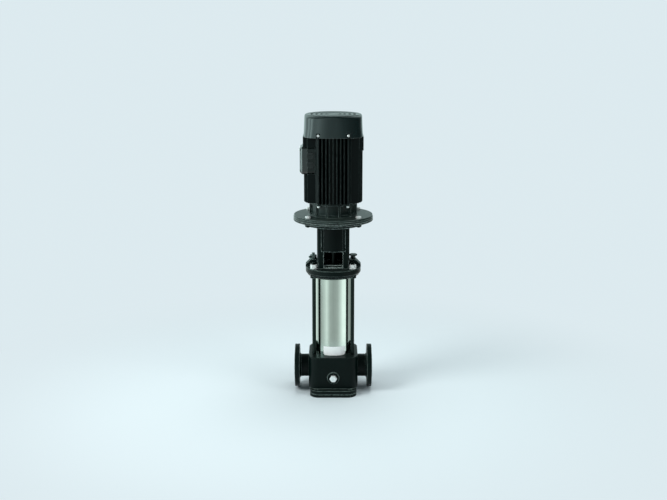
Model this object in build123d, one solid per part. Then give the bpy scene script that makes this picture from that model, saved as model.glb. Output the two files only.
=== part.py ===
from build123d import *
import math
import os

# Vertical multistage pump with inline ports, a stack of stages in a stainless sleeve and a
# flange motor on a stool. Millimetres, +Z up, the pump's axis on Z, the floor at zero, the
# ports along X and the front towards -Y.

# Foot and body of the base
foot_x = 178
foot_y = 248
foot_corner = 36
foot_band = 11
foot_groove = 2
foot_groove_depth = 2.5
foot_height = 26
foot_hole_x = 130
foot_hole_y = 215
foot_hole_radius = 6.75
body_x = 188
body_y = 196
body_corner = 38
body_rise = 16.5
body_edge = 4

# Ports and their flanges
port_height = 90
port_span = 300
port_radius = 25
neck_radius = 43.5
neck_blend = 6
flange_radius = 82.5
flange_thickness = 20
flange_pcd = 125
suction_hole_radius = 9
discharge_hole_radius = 9.25
raised_radius = 51
raised_height = 2

# Sleeve and its sealing rings
sleeve_radius = 74
sleeve_wall = 2.5
sleeve_seat = 12
sleeve_clearance = 0.3
seat_ledge = 1.5
o_ring_section = 3
o_ring_inset = 3

# Water ways inside the base
well_sump = 7
ring_way_depth = 29
riser_width = 40
stack_seat_depth = 8
stack_overlap = 4
stack_seat_width = 14

# Drain plug and its gasket
drain_drop = 19
drain_boss_radius = 22.5
drain_boss_height = 6
drain_thread_radius = 8
drain_head_flats = 24
drain_head_height = 9
drain_thread_length = 20
seal_ring_thickness = 2
seal_ring_radius = 14

# Stay bolts that clamp head, sleeve and base
stay_gap = 15.6
stay_angle = 35.5
stay_radius = 7.25
stay_boss_radius = 14
stay_thread_depth = 30
stay_hole_radius = 8
stay_end = 7
washer_radius = 14
washer_thickness = 3
nut_flats = 24
nut_height = 13
thread_clearance = 0.05
bolt_clearance = 0.5

# Stage stack
stage_count = 7
stage_pitch = 45
inlet_height = 10
top_plate_thickness = 5
top_plate_gap = 4
plate_window_count = 6
plate_window_radius = 7
spring_height = 4.5
spring_width = 5
inlet_lip = 2
return_gap = 7.5
chamber_wall = 2
chamber_floor = 3
guide_gap = 2
guide_plate_thickness = 2
guide_plate_edge = 2
guide_vane_count = 6
guide_vane_thickness = 2
guide_vane_sweep = -75
guide_vane_root = 8
vane_early_turn = 0.6
neck_ring_wall = 3.6
neck_ring_gap = 0.4
running_gap = 0.35

# Impellers
impeller_room = 8
impeller_eye_radius = 28
impeller_wall = 2
impeller_neck_height = 9
impeller_passage = 12
impeller_blade_count = 6
impeller_blade_thickness = 2
impeller_blade_sweep = 70
hub_wall = 3
hub_offset = 2
blade_lap = 1

# Pump shaft and shaft seal
shaft_radius = 11
shaft_tail = 2
shaft_collar_step = 1
shaft_collar_height = 4
shaft_fit = 0.03
seal_rotor_wall = 8
seal_rotor_height = 9
seal_room = 8
seal_flange_lap = 9
seal_flange_thickness = 6
seal_nose_step = 6
seal_nose_height = 3

# Pump head
head_wall = 14
head_depth = 22.5
head_rim_height = 20
head_skirt_wall = 14
head_overhang = 31
head_edge = 2
head_belly = 2
lug_length = 41
lug_half_width = 19
lug_height = 26.5
lug_slope = 19
plug_inset = 29
plug_thread_radius = 9
plug_thread_length = 22
plug_hole_depth = 44
plug_flange_radius = 14.5
plug_flange_thickness = 3
plug_hex_flats = 22
plug_hex_height = 12
gauge_plug_stem_radius = 8
gauge_plug_stem_height = 12
gauge_plug_flats = 26
gauge_plug_cap = 6

# Vent needle in the priming plug
vent_radius = 4
vent_length = 20
vent_head_flats = 10
vent_head_height = 6
vent_spout_radius = 4
vent_spout_bore = 2
vent_spout_reach = 20
vent_spout_turn = 50
vent_neck = 2
vent_gap = 0.08

# Motor stool
stool_height = 186.5
stool_width = 122
stool_corner = 10
stool_wall = 9
stool_inner_corner = 2
stool_floor = 12
stool_floor_hole_radius = 40
stool_bolt_x = 42
stool_bolt_y = 28
stool_bolt_radius = 5
stool_bolt_thread = 11
thread_run_out = 1
stool_bolt_head_radius = 8
stool_bolt_head_height = 8
stool_ring_inset = 18.5
stool_ring_height = 15
stool_flange_thickness = 8
stool_throat_radius = 50
nut_pocket_radius = 16
nut_pocket_height = 30
window_width = 72
window_sill = 4
window_lintel = 6

# Coupling guards
guard_height = 96
rear_guard_lift = 11.5
guard_top_lap = 5
guard_sheet = 1.5
guard_tab = 10
guard_bulge = 7
guard_screw_radius = 2.5
guard_screw_inset = 9
guard_screw_head_radius = 5
guard_screw_head_height = 3
guard_screw_length = 7

# Split coupling
coupling_height = 86
coupling_wall = 12
coupling_lug_y = 15
coupling_split = 1.5
coupling_screw_gap = 5
coupling_screw_edge = 8
coupling_screw_radius = 4
coupling_screw_head_radius = 5.5
coupling_screw_head_height = 6
coupling_screw_inset = 15
coupling_lift = 67
pin_radius = 4
pin_length = 48
pin_height = 20
pin_end_gap = 1
shaft_end_gap = 3

# Motor flange and drive end shield
motor_flange_radius = 150
motor_flange_thickness = 14
motor_flange_bevel = 1
motor_flange_step = 1.5
motor_bolt_edge = 17.5
motor_spigot_inset = 17.6
motor_spigot_height = 4
neck_overlap = 5
neck_rib_depth = 7
neck_rib_count = 12
neck_rib_thickness = 7
neck_height = 50
neck_blend_height = 8
shield_wall = 7
shield_shaft_gap = 2
rib_root = 2
bearing_lip = 1
flange_bolt_radius = 6
flange_bolt_flats = 18
flange_bolt_head = 8
flange_nut_height = 10
flange_bolt_end = 2

# Stator housing with its square set of cooling fins
housing_bore_radius = 80
housing_wall = 6
fin_length = 24
fin_pitch = 13.5
fin_thickness = 3.6
front_fin_count = 9
side_fin_count = 9
side_pad_step = 2
side_pad_height = 50
tie_gap = 8.9
tie_angle = 55.3
tie_boss_radius = 8
tie_screw_radius = 3
tie_head_radius = 5.5
tie_head_height = 7
tie_lug_thickness = 6
tie_thread = 14

# Windings, rotor, bearings and motor shaft
core_length = 150
core_lift = 46
core_head_room = 51
core_bore_radius = 46
winding_outer_gap = 6
winding_inner_gap = 5
winding_height = 25
air_gap = 0.7
motor_shaft_radius = 19
motor_shaft_reach = 78
shaft_step = 1
rotor_shaft_step = 4
drive_bearing_section = 25
drive_bearing_width = 23
drive_bearing_lift = 23
rear_bearing_inner = 15
rear_bearing_section = 16
rear_bearing_width = 16
ring_section = 6
rear_shield_lap = 6
rear_shield_thickness = 8
rear_spigot = 8
cover_lug_width = 16
cover_lug_height = 18

# Fan and fan cover
fan_room = 19
fan_hub_radius = 22
fan_hub_height = 26
fan_plate = 3
fan_blade_count = 8
fan_blade_height = 24
fan_blade_thickness = 2.5
blade_root = 2
fan_lift = 22
cover_height = 80
cover_taper = 3
cover_corner = 46
cover_shoulder = 12
cover_crown_inset = 2.5
cover_crown_flat = 0.5
cover_bevel = 2.5
cover_wall = 2
grille_rings = 4
grille_inner = 24
grille_pitch = 18
grille_slot = 8
grille_spokes = 6
grille_spoke_width = 9
cover_screw_x = 55
cover_screw_height = 10
cover_screw_radius = 3
cover_screw_head_radius = 4.6
cover_screw_head_height = 2.6
cover_screw_length = 14
cover_screw_lift = 0.2
cover_lug_root = 0.6

# Terminal box on the left side
box_drop = 88
box_half_height = 49
box_half_width = 56
box_corner = 9
box_reach = 17
box_saddle = 29
box_wall = 5
box_gap = 0.5
lid_thickness = 21
lid_wall = 3
lid_edge = 8
lid_screw_inset = 9
lid_screw_radius = 2.5
lid_screw_head_radius = 5
lid_screw_head_height = 3
lid_post_radius = 6
lid_tap_depth = 12
lid_hole_clearance = 0.3
board_width = 56
board_height = 60
board_thickness = 8
board_stud_radius = 2.5
board_stud_length = 8
board_stud_pitch = 18
board_row_pitch = 30
entry_inset = 19
entry_pitch = 34
entry_offset = 1
entry_radius = 10
entry_flange_radius = 12.5
entry_flange_thickness = 4
entry_slot = 2.5
entry_slot_depth = 2

# Heights that follow from the sizes above
body_height = port_height + neck_radius + body_rise
well_floor = port_height - port_radius - well_sump
ring_way_floor = body_height - ring_way_depth
drain_height = port_height - drain_drop
stack_seat = body_height - stack_seat_depth
first_stage = stack_seat + inlet_height
stack_top = first_stage + stage_count * stage_pitch
head_ceiling = stack_top + top_plate_thickness + spring_height
head_top = head_ceiling + head_wall
head_bottom = head_ceiling - head_depth
sleeve_bottom = body_height - sleeve_seat
sleeve_top = head_bottom + sleeve_seat
guide_plate_height = impeller_neck_height + 2 * impeller_wall + impeller_passage + guide_gap
stool_top = head_top + stool_height
motor_flange_top = stool_top + motor_flange_thickness
stator_bottom = motor_flange_top + neck_height
core_bottom = stator_bottom + core_lift
core_top = core_bottom + core_length
stator_top = core_top + core_head_room
total_height = stator_top + cover_height
lug_top = head_top + lug_height
stool_ring_bottom = stool_top - stool_flange_thickness - stool_ring_height
window_bottom = head_top + window_sill
window_top = stool_ring_bottom - window_lintel
guard_top = window_top + guard_top_lap
rear_guard_height = guard_top - head_top - rear_guard_lift
hub_stack_top = first_stage + hub_offset + stage_count * stage_pitch
seal_face = hub_stack_top + seal_rotor_height
coupling_bottom = window_bottom + coupling_lift
motor_shaft_bottom = stool_top - motor_shaft_reach
pump_shaft_top = motor_shaft_bottom - shaft_end_gap
drive_bearing_bottom = stool_top + drive_bearing_lift
rear_bearing_bottom = stator_top - rear_bearing_width
fan_bottom = stator_top + fan_lift
box_middle = stator_top - box_drop

# Radii and widths that follow from them, from the axis outwards
hub_radius = shaft_radius + hub_wall
shaft_collar_radius = hub_radius + shaft_collar_step
guide_vane_start = hub_radius + guide_vane_root
seal_rotor_radius = shaft_radius + seal_rotor_wall
seal_bore_radius = seal_rotor_radius + seal_room
seal_flange_radius = seal_bore_radius + seal_flange_lap
neck_ring_radius = impeller_eye_radius + impeller_wall + neck_ring_gap + neck_ring_wall
chamber_radius = sleeve_radius - sleeve_wall - return_gap
impeller_radius = chamber_radius - chamber_wall - impeller_room
guide_plate_radius = impeller_radius - guide_plate_edge
ring_way_inner = chamber_radius - stack_overlap
well_radius = ring_way_inner - stack_seat_width
ring_way_outer = sleeve_radius - sleeve_wall - seat_ledge
head_skirt_radius = sleeve_radius + head_skirt_wall
head_radius = sleeve_radius + head_overhang
lug_inner = head_radius - lug_length
plug_x = head_radius - plug_inset
stay_circle = sleeve_radius + stay_gap
stay_x = stay_circle * math.cos(math.radians(stay_angle))
stay_y = stay_circle * math.sin(math.radians(stay_angle))
stool_half = stool_width / 2
stool_inner = stool_width - 2 * stool_wall
motor_bolt_circle = motor_flange_radius - motor_bolt_edge
motor_spigot_radius = motor_bolt_circle - motor_spigot_inset
stool_ring_radius = motor_bolt_circle - stool_ring_inset
coupling_radius = motor_shaft_radius + coupling_wall
coupling_screw_x = coupling_radius + coupling_screw_gap
coupling_lug_x = coupling_screw_x + coupling_screw_edge
drive_bearing_inner = motor_shaft_radius + shaft_step
rotor_shaft_radius = drive_bearing_inner + rotor_shaft_step
drive_bearing_outer = drive_bearing_inner + drive_bearing_section
rear_bearing_outer = rear_bearing_inner + rear_bearing_section
winding_inner_radius = core_bore_radius + winding_inner_gap
winding_outer_radius = housing_bore_radius - winding_outer_gap
housing_radius = housing_bore_radius + housing_wall
neck_shield_radius = housing_bore_radius + neck_overlap
neck_rib_radius = neck_shield_radius + neck_rib_depth
rear_shield_radius = housing_radius + rear_shield_lap
fin_envelope = housing_radius + fin_length
side_pad_reach = fin_envelope + side_pad_step
tie_circle = housing_radius + tie_gap
tie_x = tie_circle * math.cos(math.radians(tie_angle))
tie_y = tie_circle * math.sin(math.radians(tie_angle))
cover_foot_half = fin_envelope
cover_top_half = cover_foot_half - cover_taper
fan_radius = cover_top_half - fan_room
box_inner_x = housing_radius - box_saddle
box_outer_x = housing_radius + box_reach
entry_x = box_outer_x - entry_inset


def disc(radius, low, high, x=0, y=0):
    """Upright cylinder between two heights."""
    return Pos(x, y, low) * extrude(Circle(radius), high - low)


def ring(outer, inner, low, high, x=0, y=0):
    """Upright tube between two heights."""
    return Pos(x, y, low) * extrude(Circle(outer) - Circle(inner), high - low)


def block(x, y, z):
    """Straight block from three pairs of limits."""
    size = [b - a for a, b in (x, y, z)]
    return Pos((x[0] + x[1]) / 2, (y[0] + y[1]) / 2, (z[0] + z[1]) / 2) * Box(*size)


def slab(width, depth, corner, low, high):
    """Upright slab with round corners."""
    return Pos(0, 0, low) * extrude(RectangleRounded(width, depth, corner), high - low)


def turned(*points):
    """Solid turned about Z from its outline as (radius, height) points."""
    outline = Plane.XZ * make_face(Polyline(*points, close=True))
    return revolve(outline, Axis.Z)


def rod_x(radius, start, end, y, z):
    """Round bar along X."""
    return Pos(start, y, z) * (Plane.YZ * extrude(Circle(radius), end - start))


def rod_y(radius, start, end, x, z):
    """Round bar along Y."""
    return Pos(x, start, z) * (Plane.ZX * extrude(Circle(radius), end - start))


def hexagon(flats, low, high, x=0, y=0):
    """Upright hexagon bar, measured across its flats."""
    return Pos(x, y, low) * extrude(RegularPolygon(flats / 2, 6, major_radius=False), high - low)


def corners(x, y):
    """The four places that mirror one place about both middle planes."""
    return [(a * x, b * y) for a in (-1, 1) for b in (-1, 1)]


def group(solids):
    """Several separate solids as one node."""
    return Compound([piece.solid() for piece in solids])


def swept_vane(inner, outer, sweep, thickness, low, high):
    """Curved upright vane whose middle line turns by sweep degrees from inner to outer radius."""
    def point(radius, turn, side):
        angle = math.radians(turn) + side * thickness / (2 * radius)
        return (radius * math.cos(angle), radius * math.sin(angle))

    middle = (inner + outer) / 2
    bend = sweep * vane_early_turn
    edges = [
        ThreePointArc(point(inner, 0, 1), point(middle, bend, 1), point(outer, sweep, 1)),
        Line(point(outer, sweep, 1), point(outer, sweep, -1)),
        ThreePointArc(point(outer, sweep, -1), point(middle, bend, -1), point(inner, 0, -1)),
        Line(point(inner, 0, -1), point(inner, 0, 1)),
    ]
    return Pos(0, 0, low) * extrude(make_face(Wire(edges)), high - low)


def around(piece, count, start=0):
    """Copies of a piece set evenly about Z."""
    return [Rot(0, 0, start + 360 * k / count) * piece for k in range(count)]


def pump_base():
    """Casting with foot, body, two flanged ports and the water ways inside."""
    half_span = port_span / 2
    inset = 2 * foot_groove_depth
    base = slab(foot_x, foot_y, foot_corner, 0, foot_band)
    base += slab(foot_x - inset, foot_y - inset, foot_corner - foot_groove_depth, foot_band, foot_height)
    base += slab(foot_x, foot_y, foot_corner, foot_band + foot_groove, foot_height)
    body = slab(body_x, body_y, body_corner, foot_height, body_height)
    base += fillet(body.faces().sort_by(Axis.Z)[-1].edges(), body_edge)
    base += rod_y(drain_boss_radius, -body_y / 2 - drain_boss_height, -well_radius, 0, drain_height)
    reach = flange_pcd / 2 * math.sqrt(0.5)
    for side, hole_radius in ((-1, suction_hole_radius), (1, discharge_hole_radius)):
        face = side * half_span
        behind_raised = face - side * raised_height
        behind_flange = face - side * flange_thickness
        base += rod_x(raised_radius, behind_raised, face, 0, port_height)
        flange = rod_x(flange_radius, behind_flange, behind_raised, 0, port_height)
        for y, z in corners(reach, reach):
            flange -= rod_x(hole_radius, behind_flange, face, y, port_height + z)
        base += flange
        base += rod_x(neck_radius, side * well_radius, behind_flange, 0, port_height)
        blend = loft([
            Plane.YZ.offset(behind_flange - side * neck_blend) * Circle(neck_radius),
            Plane.YZ.offset(behind_flange) * Circle(neck_radius + neck_blend),
        ])
        base += Pos(0, 0, port_height) * blend
    base -= disc(well_radius, well_floor, body_height)
    base -= ring(ring_way_outer, ring_way_inner, ring_way_floor, body_height)
    base -= disc(ring_way_outer, stack_seat, body_height)
    base -= disc(sleeve_radius + sleeve_clearance, sleeve_bottom, body_height)
    groove = sleeve_bottom + o_ring_inset
    base -= disc(sleeve_radius + o_ring_section, groove, groove + o_ring_section)
    base -= rod_x(port_radius, -half_span, 0, 0, port_height)
    base -= rod_x(port_radius, ring_way_inner, half_span, 0, port_height)
    riser = (-riser_width / 2, riser_width / 2)
    base -= block((ring_way_inner, ring_way_outer), riser, (port_height, body_height))
    thread_radius = drain_thread_radius + thread_clearance
    base -= rod_y(thread_radius, -body_y / 2 - drain_boss_height, 0, 0, drain_height)
    for x, y in corners(stay_x, stay_y):
        bottom = body_height - stay_thread_depth
        base -= disc(stay_radius + thread_clearance, bottom, body_height, x, y)
    for x, y in corners(foot_hole_x / 2, foot_hole_y / 2):
        base -= disc(foot_hole_radius, 0, foot_height, x, y)
    return base


def drain_seat():
    """Depth of the drain boss's face."""
    return -body_y / 2 - drain_boss_height


def drain_gasket():
    """Sealing ring under the drain plug's head."""
    face = drain_seat()
    washer = rod_y(seal_ring_radius, face - seal_ring_thickness, face, 0, drain_height)
    hole = drain_thread_radius + thread_clearance
    return washer - rod_y(hole, face - seal_ring_thickness, face, 0, drain_height)


def drain_plug():
    """Hexagon plug screwed into the front of the base."""
    under_head = drain_seat() - seal_ring_thickness
    head = RegularPolygon(drain_head_flats / 2, 6, major_radius=False)
    plug = Pos(0, under_head, drain_height) * (Plane.XZ * extrude(head, drain_head_height))
    end = drain_seat() + drain_thread_length
    return plug + rod_y(drain_thread_radius, under_head, end, 0, drain_height)


def outer_sleeve():
    """Thin stainless tube between base and head."""
    return ring(sleeve_radius, sleeve_radius - sleeve_wall, sleeve_bottom, sleeve_top)


def sleeve_o_rings():
    """Sealing rings at both ends of the sleeve."""
    inner = sleeve_radius + thread_clearance
    outer = sleeve_radius + o_ring_section
    low = sleeve_bottom + o_ring_inset
    high = sleeve_top - o_ring_inset
    return group([
        ring(outer, inner, low, low + o_ring_section),
        ring(outer, inner, high - o_ring_section, high),
    ])


def stay_bolts():
    """Four long bolts from the base up through the head."""
    low = body_height - stay_thread_depth
    high = head_top + washer_thickness + nut_height + stay_end
    return group([disc(stay_radius, low, high, x, y) for x, y in corners(stay_x, stay_y)])


def stay_bolt_washers():
    """Washers between the head and the nuts."""
    hole = stay_radius + thread_clearance
    high = head_top + washer_thickness
    places = corners(stay_x, stay_y)
    return group([ring(washer_radius, hole, head_top, high, x, y) for x, y in places])


def stay_bolt_nuts():
    """Hexagon nuts on the stay bolts."""
    low = head_top + washer_thickness
    high = low + nut_height
    hole = stay_radius + thread_clearance
    nuts = []
    for x, y in corners(stay_x, stay_y):
        nuts.append(hexagon(nut_flats, low, high, x, y) - disc(hole, low, high, x, y))
    return group(nuts)


def pump_head():
    """Casting that closes the sleeve, with bolt bosses, two plug lugs and the seal bore."""
    rim_bottom = head_top - head_rim_height
    bore = seal_bore_radius
    recess = sleeve_radius + sleeve_clearance
    belly_x = (head_radius + head_skirt_radius) / 2 + head_belly
    belly_z = (rim_bottom + head_bottom) / 2 - head_belly
    head = turned(
        (bore, head_top),
        (head_radius - head_edge, head_top),
        (head_radius, head_top - head_edge),
        (head_radius, rim_bottom),
        (belly_x, belly_z),
        (head_skirt_radius, head_bottom),
        (recess, head_bottom),
        (recess, sleeve_top),
        (ring_way_outer, sleeve_top),
        (ring_way_outer, head_ceiling),
        (bore, head_ceiling),
    )
    for x, y in corners(stay_x, stay_y):
        head += disc(stay_boss_radius, head_bottom, rim_bottom, x, y)
    slope_x = head_radius - lug_slope
    lug = make_face(Polyline(
        (lug_inner, head_top - head_edge),
        (head_radius, head_top - head_edge),
        (head_radius, lug_top - lug_slope),
        (slope_x, lug_top),
        (lug_inner, lug_top),
        close=True,
    ))
    lug = Plane.XZ * extrude(lug, lug_half_width, both=True)
    hole = disc(plug_thread_radius + thread_clearance, lug_top - plug_hole_depth, lug_top, plug_x)
    for turn in (0, 180):
        head += Rot(0, 0, turn) * lug
    for turn in (0, 180):
        head -= Rot(0, 0, turn) * hole
    groove = sleeve_top - o_ring_inset
    head -= ring(sleeve_radius + o_ring_section, sleeve_radius, groove - o_ring_section, groove)
    for x, y in corners(stay_x, stay_y):
        head -= disc(stay_hole_radius, head_bottom, head_top, x, y)
    for x, y in corners(stool_bolt_x, stool_bolt_y):
        thread = stool_bolt_radius + thread_clearance
        head -= disc(thread, head_top - stool_bolt_thread, head_top, x, y)
    return head


def priming_plug():
    """Hollow hexagon plug on the left lug, with a bleed spout and a bore for the vent needle."""
    flange_top = lug_top + plug_flange_thickness
    top = flange_top + plug_hex_height
    plug = disc(plug_thread_radius, lug_top - plug_thread_length, lug_top, -plug_x)
    plug += disc(plug_flange_radius, lug_top, flange_top, -plug_x)
    plug += hexagon(plug_hex_flats, flange_top, top, -plug_x)
    spout_height = flange_top + plug_hex_height / 2
    turn = Pos(-plug_x, 0, spout_height) * Rot(0, 0, -vent_spout_turn) * Rot(90, 0, 0)
    plug += turn * extrude(Circle(vent_spout_radius), vent_spout_reach)
    plug -= turn * extrude(Circle(vent_spout_bore), vent_spout_reach)
    return plug - disc(vent_radius + vent_gap, top - vent_length, top, -plug_x)


def vent_spindle():
    """Needle that opens and shuts the bleed spout."""
    top = lug_top + plug_flange_thickness + plug_hex_height
    needle = disc(vent_radius, top - vent_length, top + vent_neck, -plug_x)
    head = hexagon(vent_head_flats, top + vent_neck, top + vent_neck + vent_head_height, -plug_x)
    return needle + head


def gauge_plug():
    """Solid plug with a stem and a wide hexagon cap on the right lug."""
    stem_top = lug_top + gauge_plug_stem_height
    plug = disc(plug_thread_radius, lug_top - plug_thread_length, lug_top, plug_x)
    plug += disc(gauge_plug_stem_radius, lug_top, stem_top, plug_x)
    return plug + hexagon(gauge_plug_flats, stem_top, stem_top + gauge_plug_cap, plug_x)


def motor_stool():
    """Square stool between head and motor, open at front and rear for the coupling."""
    flange_bottom = stool_top - stool_flange_thickness
    stool = slab(stool_width, stool_width, stool_corner, head_top, stool_ring_bottom)
    stool += disc(stool_ring_radius, stool_ring_bottom, flange_bottom)
    stool += turned(
        (0, flange_bottom),
        (motor_flange_radius - motor_flange_bevel, flange_bottom),
        (motor_flange_radius, flange_bottom + motor_flange_bevel),
        (motor_flange_radius, stool_top - motor_flange_bevel),
        (motor_flange_radius - motor_flange_bevel, stool_top),
        (0, stool_top),
    )
    inside = slab(stool_inner, stool_inner, stool_inner_corner, head_top + stool_floor, stool_ring_bottom)
    stool -= inside
    stool -= disc(stool_throat_radius, stool_ring_bottom, stool_top)
    stool -= disc(stool_floor_hole_radius, head_top, head_top + stool_floor)
    spigot = motor_spigot_radius + sleeve_clearance
    stool -= disc(spigot, stool_top - motor_spigot_height, stool_top)
    half = window_width / 2
    window = block((-half, half), (-stool_half, stool_half), (window_bottom, window_top))
    inner = stool_inner / 2
    window -= block((-half, half), (-inner, inner), (window_bottom, head_top + stool_floor))
    stool -= window
    for x, y in corners(stool_bolt_x, stool_bolt_y):
        hole = stool_bolt_radius + 2 * thread_clearance
        stool -= disc(hole, head_top, head_top + stool_floor, x, y)
    for x, y in corners(stay_x, stay_y):
        stool -= disc(nut_pocket_radius, head_top, head_top + nut_pocket_height, x, y)
    for x, y in flange_bolt_places():
        hole = flange_bolt_radius + bolt_clearance
        stool -= disc(hole, flange_bottom, stool_top, x, y)
    for side, height in ((-1, guard_height), (1, rear_guard_height)):
        for x, z in guard_screw_places(height):
            y = sorted((side * stool_half, side * (stool_half - stool_wall)))
            stool -= rod_y(guard_screw_radius + thread_clearance, *y, x, z)
    return stool


def stool_bolts():
    """Socket-head bolts that hold the stool's floor to the head."""
    seat = head_top + stool_floor
    bolts = []
    for x, y in corners(stool_bolt_x, stool_bolt_y):
        bolt = disc(stool_bolt_radius, head_top - stool_bolt_thread + thread_run_out, seat, x, y)
        bolt += disc(stool_bolt_head_radius, seat, seat + stool_bolt_head_height, x, y)
        bolts.append(bolt)
    return group(bolts)


def guard_screw_places(height):
    """Screw places of a guard of this height as (x, height)."""
    x = window_width / 2 + guard_tab / 2
    low = guard_top - height + guard_screw_inset
    high = guard_top - guard_screw_inset
    return [(side * x, z) for side in (-1, 1) for z in (low, high)]


def guard(height):
    """Bulged sheet over the front window, with a flat tab down each side."""
    inner = window_width / 2
    outer = inner + guard_tab
    near = -stool_half
    far = near - guard_sheet
    edges = [
        Line((-outer, near), (-inner, near)),
        ThreePointArc((-inner, near), (0, near - guard_bulge), (inner, near)),
        Line((inner, near), (outer, near)),
        Line((outer, near), (outer, far)),
        Line((outer, far), (inner, far)),
        ThreePointArc((inner, far), (0, far - guard_bulge), (-inner, far)),
        Line((-inner, far), (-outer, far)),
        Line((-outer, far), (-outer, near)),
    ]
    sheet = Pos(0, 0, guard_top - height) * extrude(make_face(Wire(edges)), height)
    for x, z in guard_screw_places(height):
        sheet -= rod_y(guard_screw_radius + thread_clearance, far, near, x, z)
    return sheet


def coupling_guard_front():
    """Guard over the upper part of the front window."""
    return guard(guard_height)


def coupling_guard_rear():
    """Longer guard that shuts the whole rear window."""
    return Rot(0, 0, 180) * guard(rear_guard_height)


def guard_screws():
    """Screws through the tabs of both guards."""
    face = -stool_half - guard_sheet
    screws = []
    for turn, height in ((0, guard_height), (180, rear_guard_height)):
        for x, z in guard_screw_places(height):
            screw = rod_y(guard_screw_radius, face, face + guard_screw_length, x, z)
            screw += rod_y(guard_screw_head_radius, face - guard_screw_head_height, face, x, z)
            screws.append(Rot(0, 0, turn) * screw)
    return group(screws)


def suction_inlet():
    """Ring that leads water from the well into the first eye and carries the stack."""
    return turned(
        (well_radius - inlet_lip, stack_seat),
        (chamber_radius - chamber_wall, stack_seat),
        (chamber_radius - chamber_wall, first_stage),
        (neck_ring_radius, first_stage),
        (neck_ring_radius, first_stage - inlet_lip),
    )


def stage_height(stage):
    """Height of the floor of a stage, counted from 0 at the bottom."""
    return first_stage + stage * stage_pitch


def chamber(stage):
    """Stage chamber: cup with an eye, and a guide plate carried by curved return vanes."""
    low = stage_height(stage)
    high = low + stage_pitch
    bore = chamber_radius - chamber_wall
    plate_bottom = low + guide_plate_height
    plate_top = plate_bottom + guide_plate_thickness
    cup = turned(
        (neck_ring_radius, low),
        (chamber_radius, low),
        (chamber_radius, high),
        (bore, high),
        (bore, low + chamber_floor),
        (neck_ring_radius, low + chamber_floor),
    )
    guide = ring(guide_plate_radius, hub_radius + running_gap, plate_bottom, plate_top)
    vane = swept_vane(guide_vane_start, bore + chamber_wall / 2, guide_vane_sweep,
                      guide_vane_thickness, plate_bottom, high)
    for piece in around(vane, guide_vane_count):
        guide += piece
    return cup + guide


def neck_rings():
    """Wear rings round the eye of every impeller."""
    inner = impeller_eye_radius + impeller_wall + neck_ring_gap
    rings = []
    for stage in range(stage_count):
        low = stage_height(stage)
        rings.append(ring(neck_ring_radius - thread_clearance, inner, low, low + chamber_floor))
    return group(rings)


def impeller(stage):
    """Closed impeller: front shroud with its eye, back shroud with its hub, curved blades."""
    low = stage_height(stage)
    eye = impeller_eye_radius
    neck = eye + impeller_wall
    front = low + impeller_neck_height
    passage = front + impeller_wall
    back = passage + impeller_passage
    top = back + impeller_wall
    shroud = turned(
        (eye, low),
        (neck, low),
        (neck, front),
        (impeller_radius, front),
        (impeller_radius, passage),
        (eye, passage),
    )
    hub_bottom = low + hub_offset
    bore = shaft_radius + shaft_fit
    hub = turned(
        (bore, hub_bottom),
        (hub_radius, hub_bottom),
        (hub_radius, back),
        (impeller_radius, back),
        (impeller_radius, top),
        (hub_radius, top),
        (hub_radius, hub_bottom + stage_pitch),
        (bore, hub_bottom + stage_pitch),
    )
    blade = swept_vane(eye + blade_lap, impeller_radius - blade_lap, impeller_blade_sweep,
                       impeller_blade_thickness, passage, back)
    wheel = shroud + hub
    for piece in around(blade, impeller_blade_count, 360 * stage / stage_count):
        wheel += piece
    return wheel


def top_plate():
    """Plate that closes the last stage, with windows for the water on its way down the sleeve."""
    high = stack_top + top_plate_thickness
    inner = seal_rotor_radius + top_plate_gap
    plate = ring(chamber_radius, inner, stack_top, high)
    window = disc(plate_window_radius, stack_top, high, (inner + chamber_radius) / 2)
    for piece in around(window, plate_window_count):
        plate -= piece
    return plate


def stack_spring():
    """Flat spring ring that presses the stack down from the head."""
    low = stack_top + top_plate_thickness
    return ring(chamber_radius, chamber_radius - spring_width, low, head_ceiling)


def seal_seat():
    """Still half of the shaft seal, carried in the head by its flange."""
    bore = shaft_radius + running_gap
    body = seal_bore_radius - thread_clearance
    return turned(
        (bore, seal_face),
        (body - seal_nose_step, seal_face),
        (body, seal_face + seal_nose_height),
        (body, head_top),
        (seal_flange_radius, head_top),
        (seal_flange_radius, head_top + seal_flange_thickness),
        (bore, head_top + seal_flange_thickness),
    )


def seal_rotor():
    """Turning half of the shaft seal, seated on the last impeller hub."""
    return ring(seal_rotor_radius, shaft_radius + shaft_fit, hub_stack_top, seal_face)


def pump_shaft():
    """Long shaft with a collar below the first hub and a cross hole for the coupling pin."""
    collar_top = first_stage + hub_offset
    shaft = disc(shaft_radius, collar_top - shaft_collar_height - shaft_tail, pump_shaft_top)
    shaft += disc(shaft_collar_radius, collar_top - shaft_collar_height, collar_top)
    pin_z = coupling_bottom + pin_height
    return shaft - rod_x(pin_radius + thread_clearance, -shaft_radius, shaft_radius, 0, pin_z)


def coupling_pin():
    """Cross pin that hangs the pump shaft in the coupling."""
    pin_z = coupling_bottom + pin_height
    return rod_x(pin_radius, -pin_length / 2, pin_length / 2, 0, pin_z)


def coupling_screw_places():
    """Clamp screw places as (x, height)."""
    low = coupling_bottom + coupling_screw_inset
    high = coupling_bottom + coupling_height - coupling_screw_inset
    return [(side * coupling_screw_x, z) for side in (-1, 1) for z in (low, high)]


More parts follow.
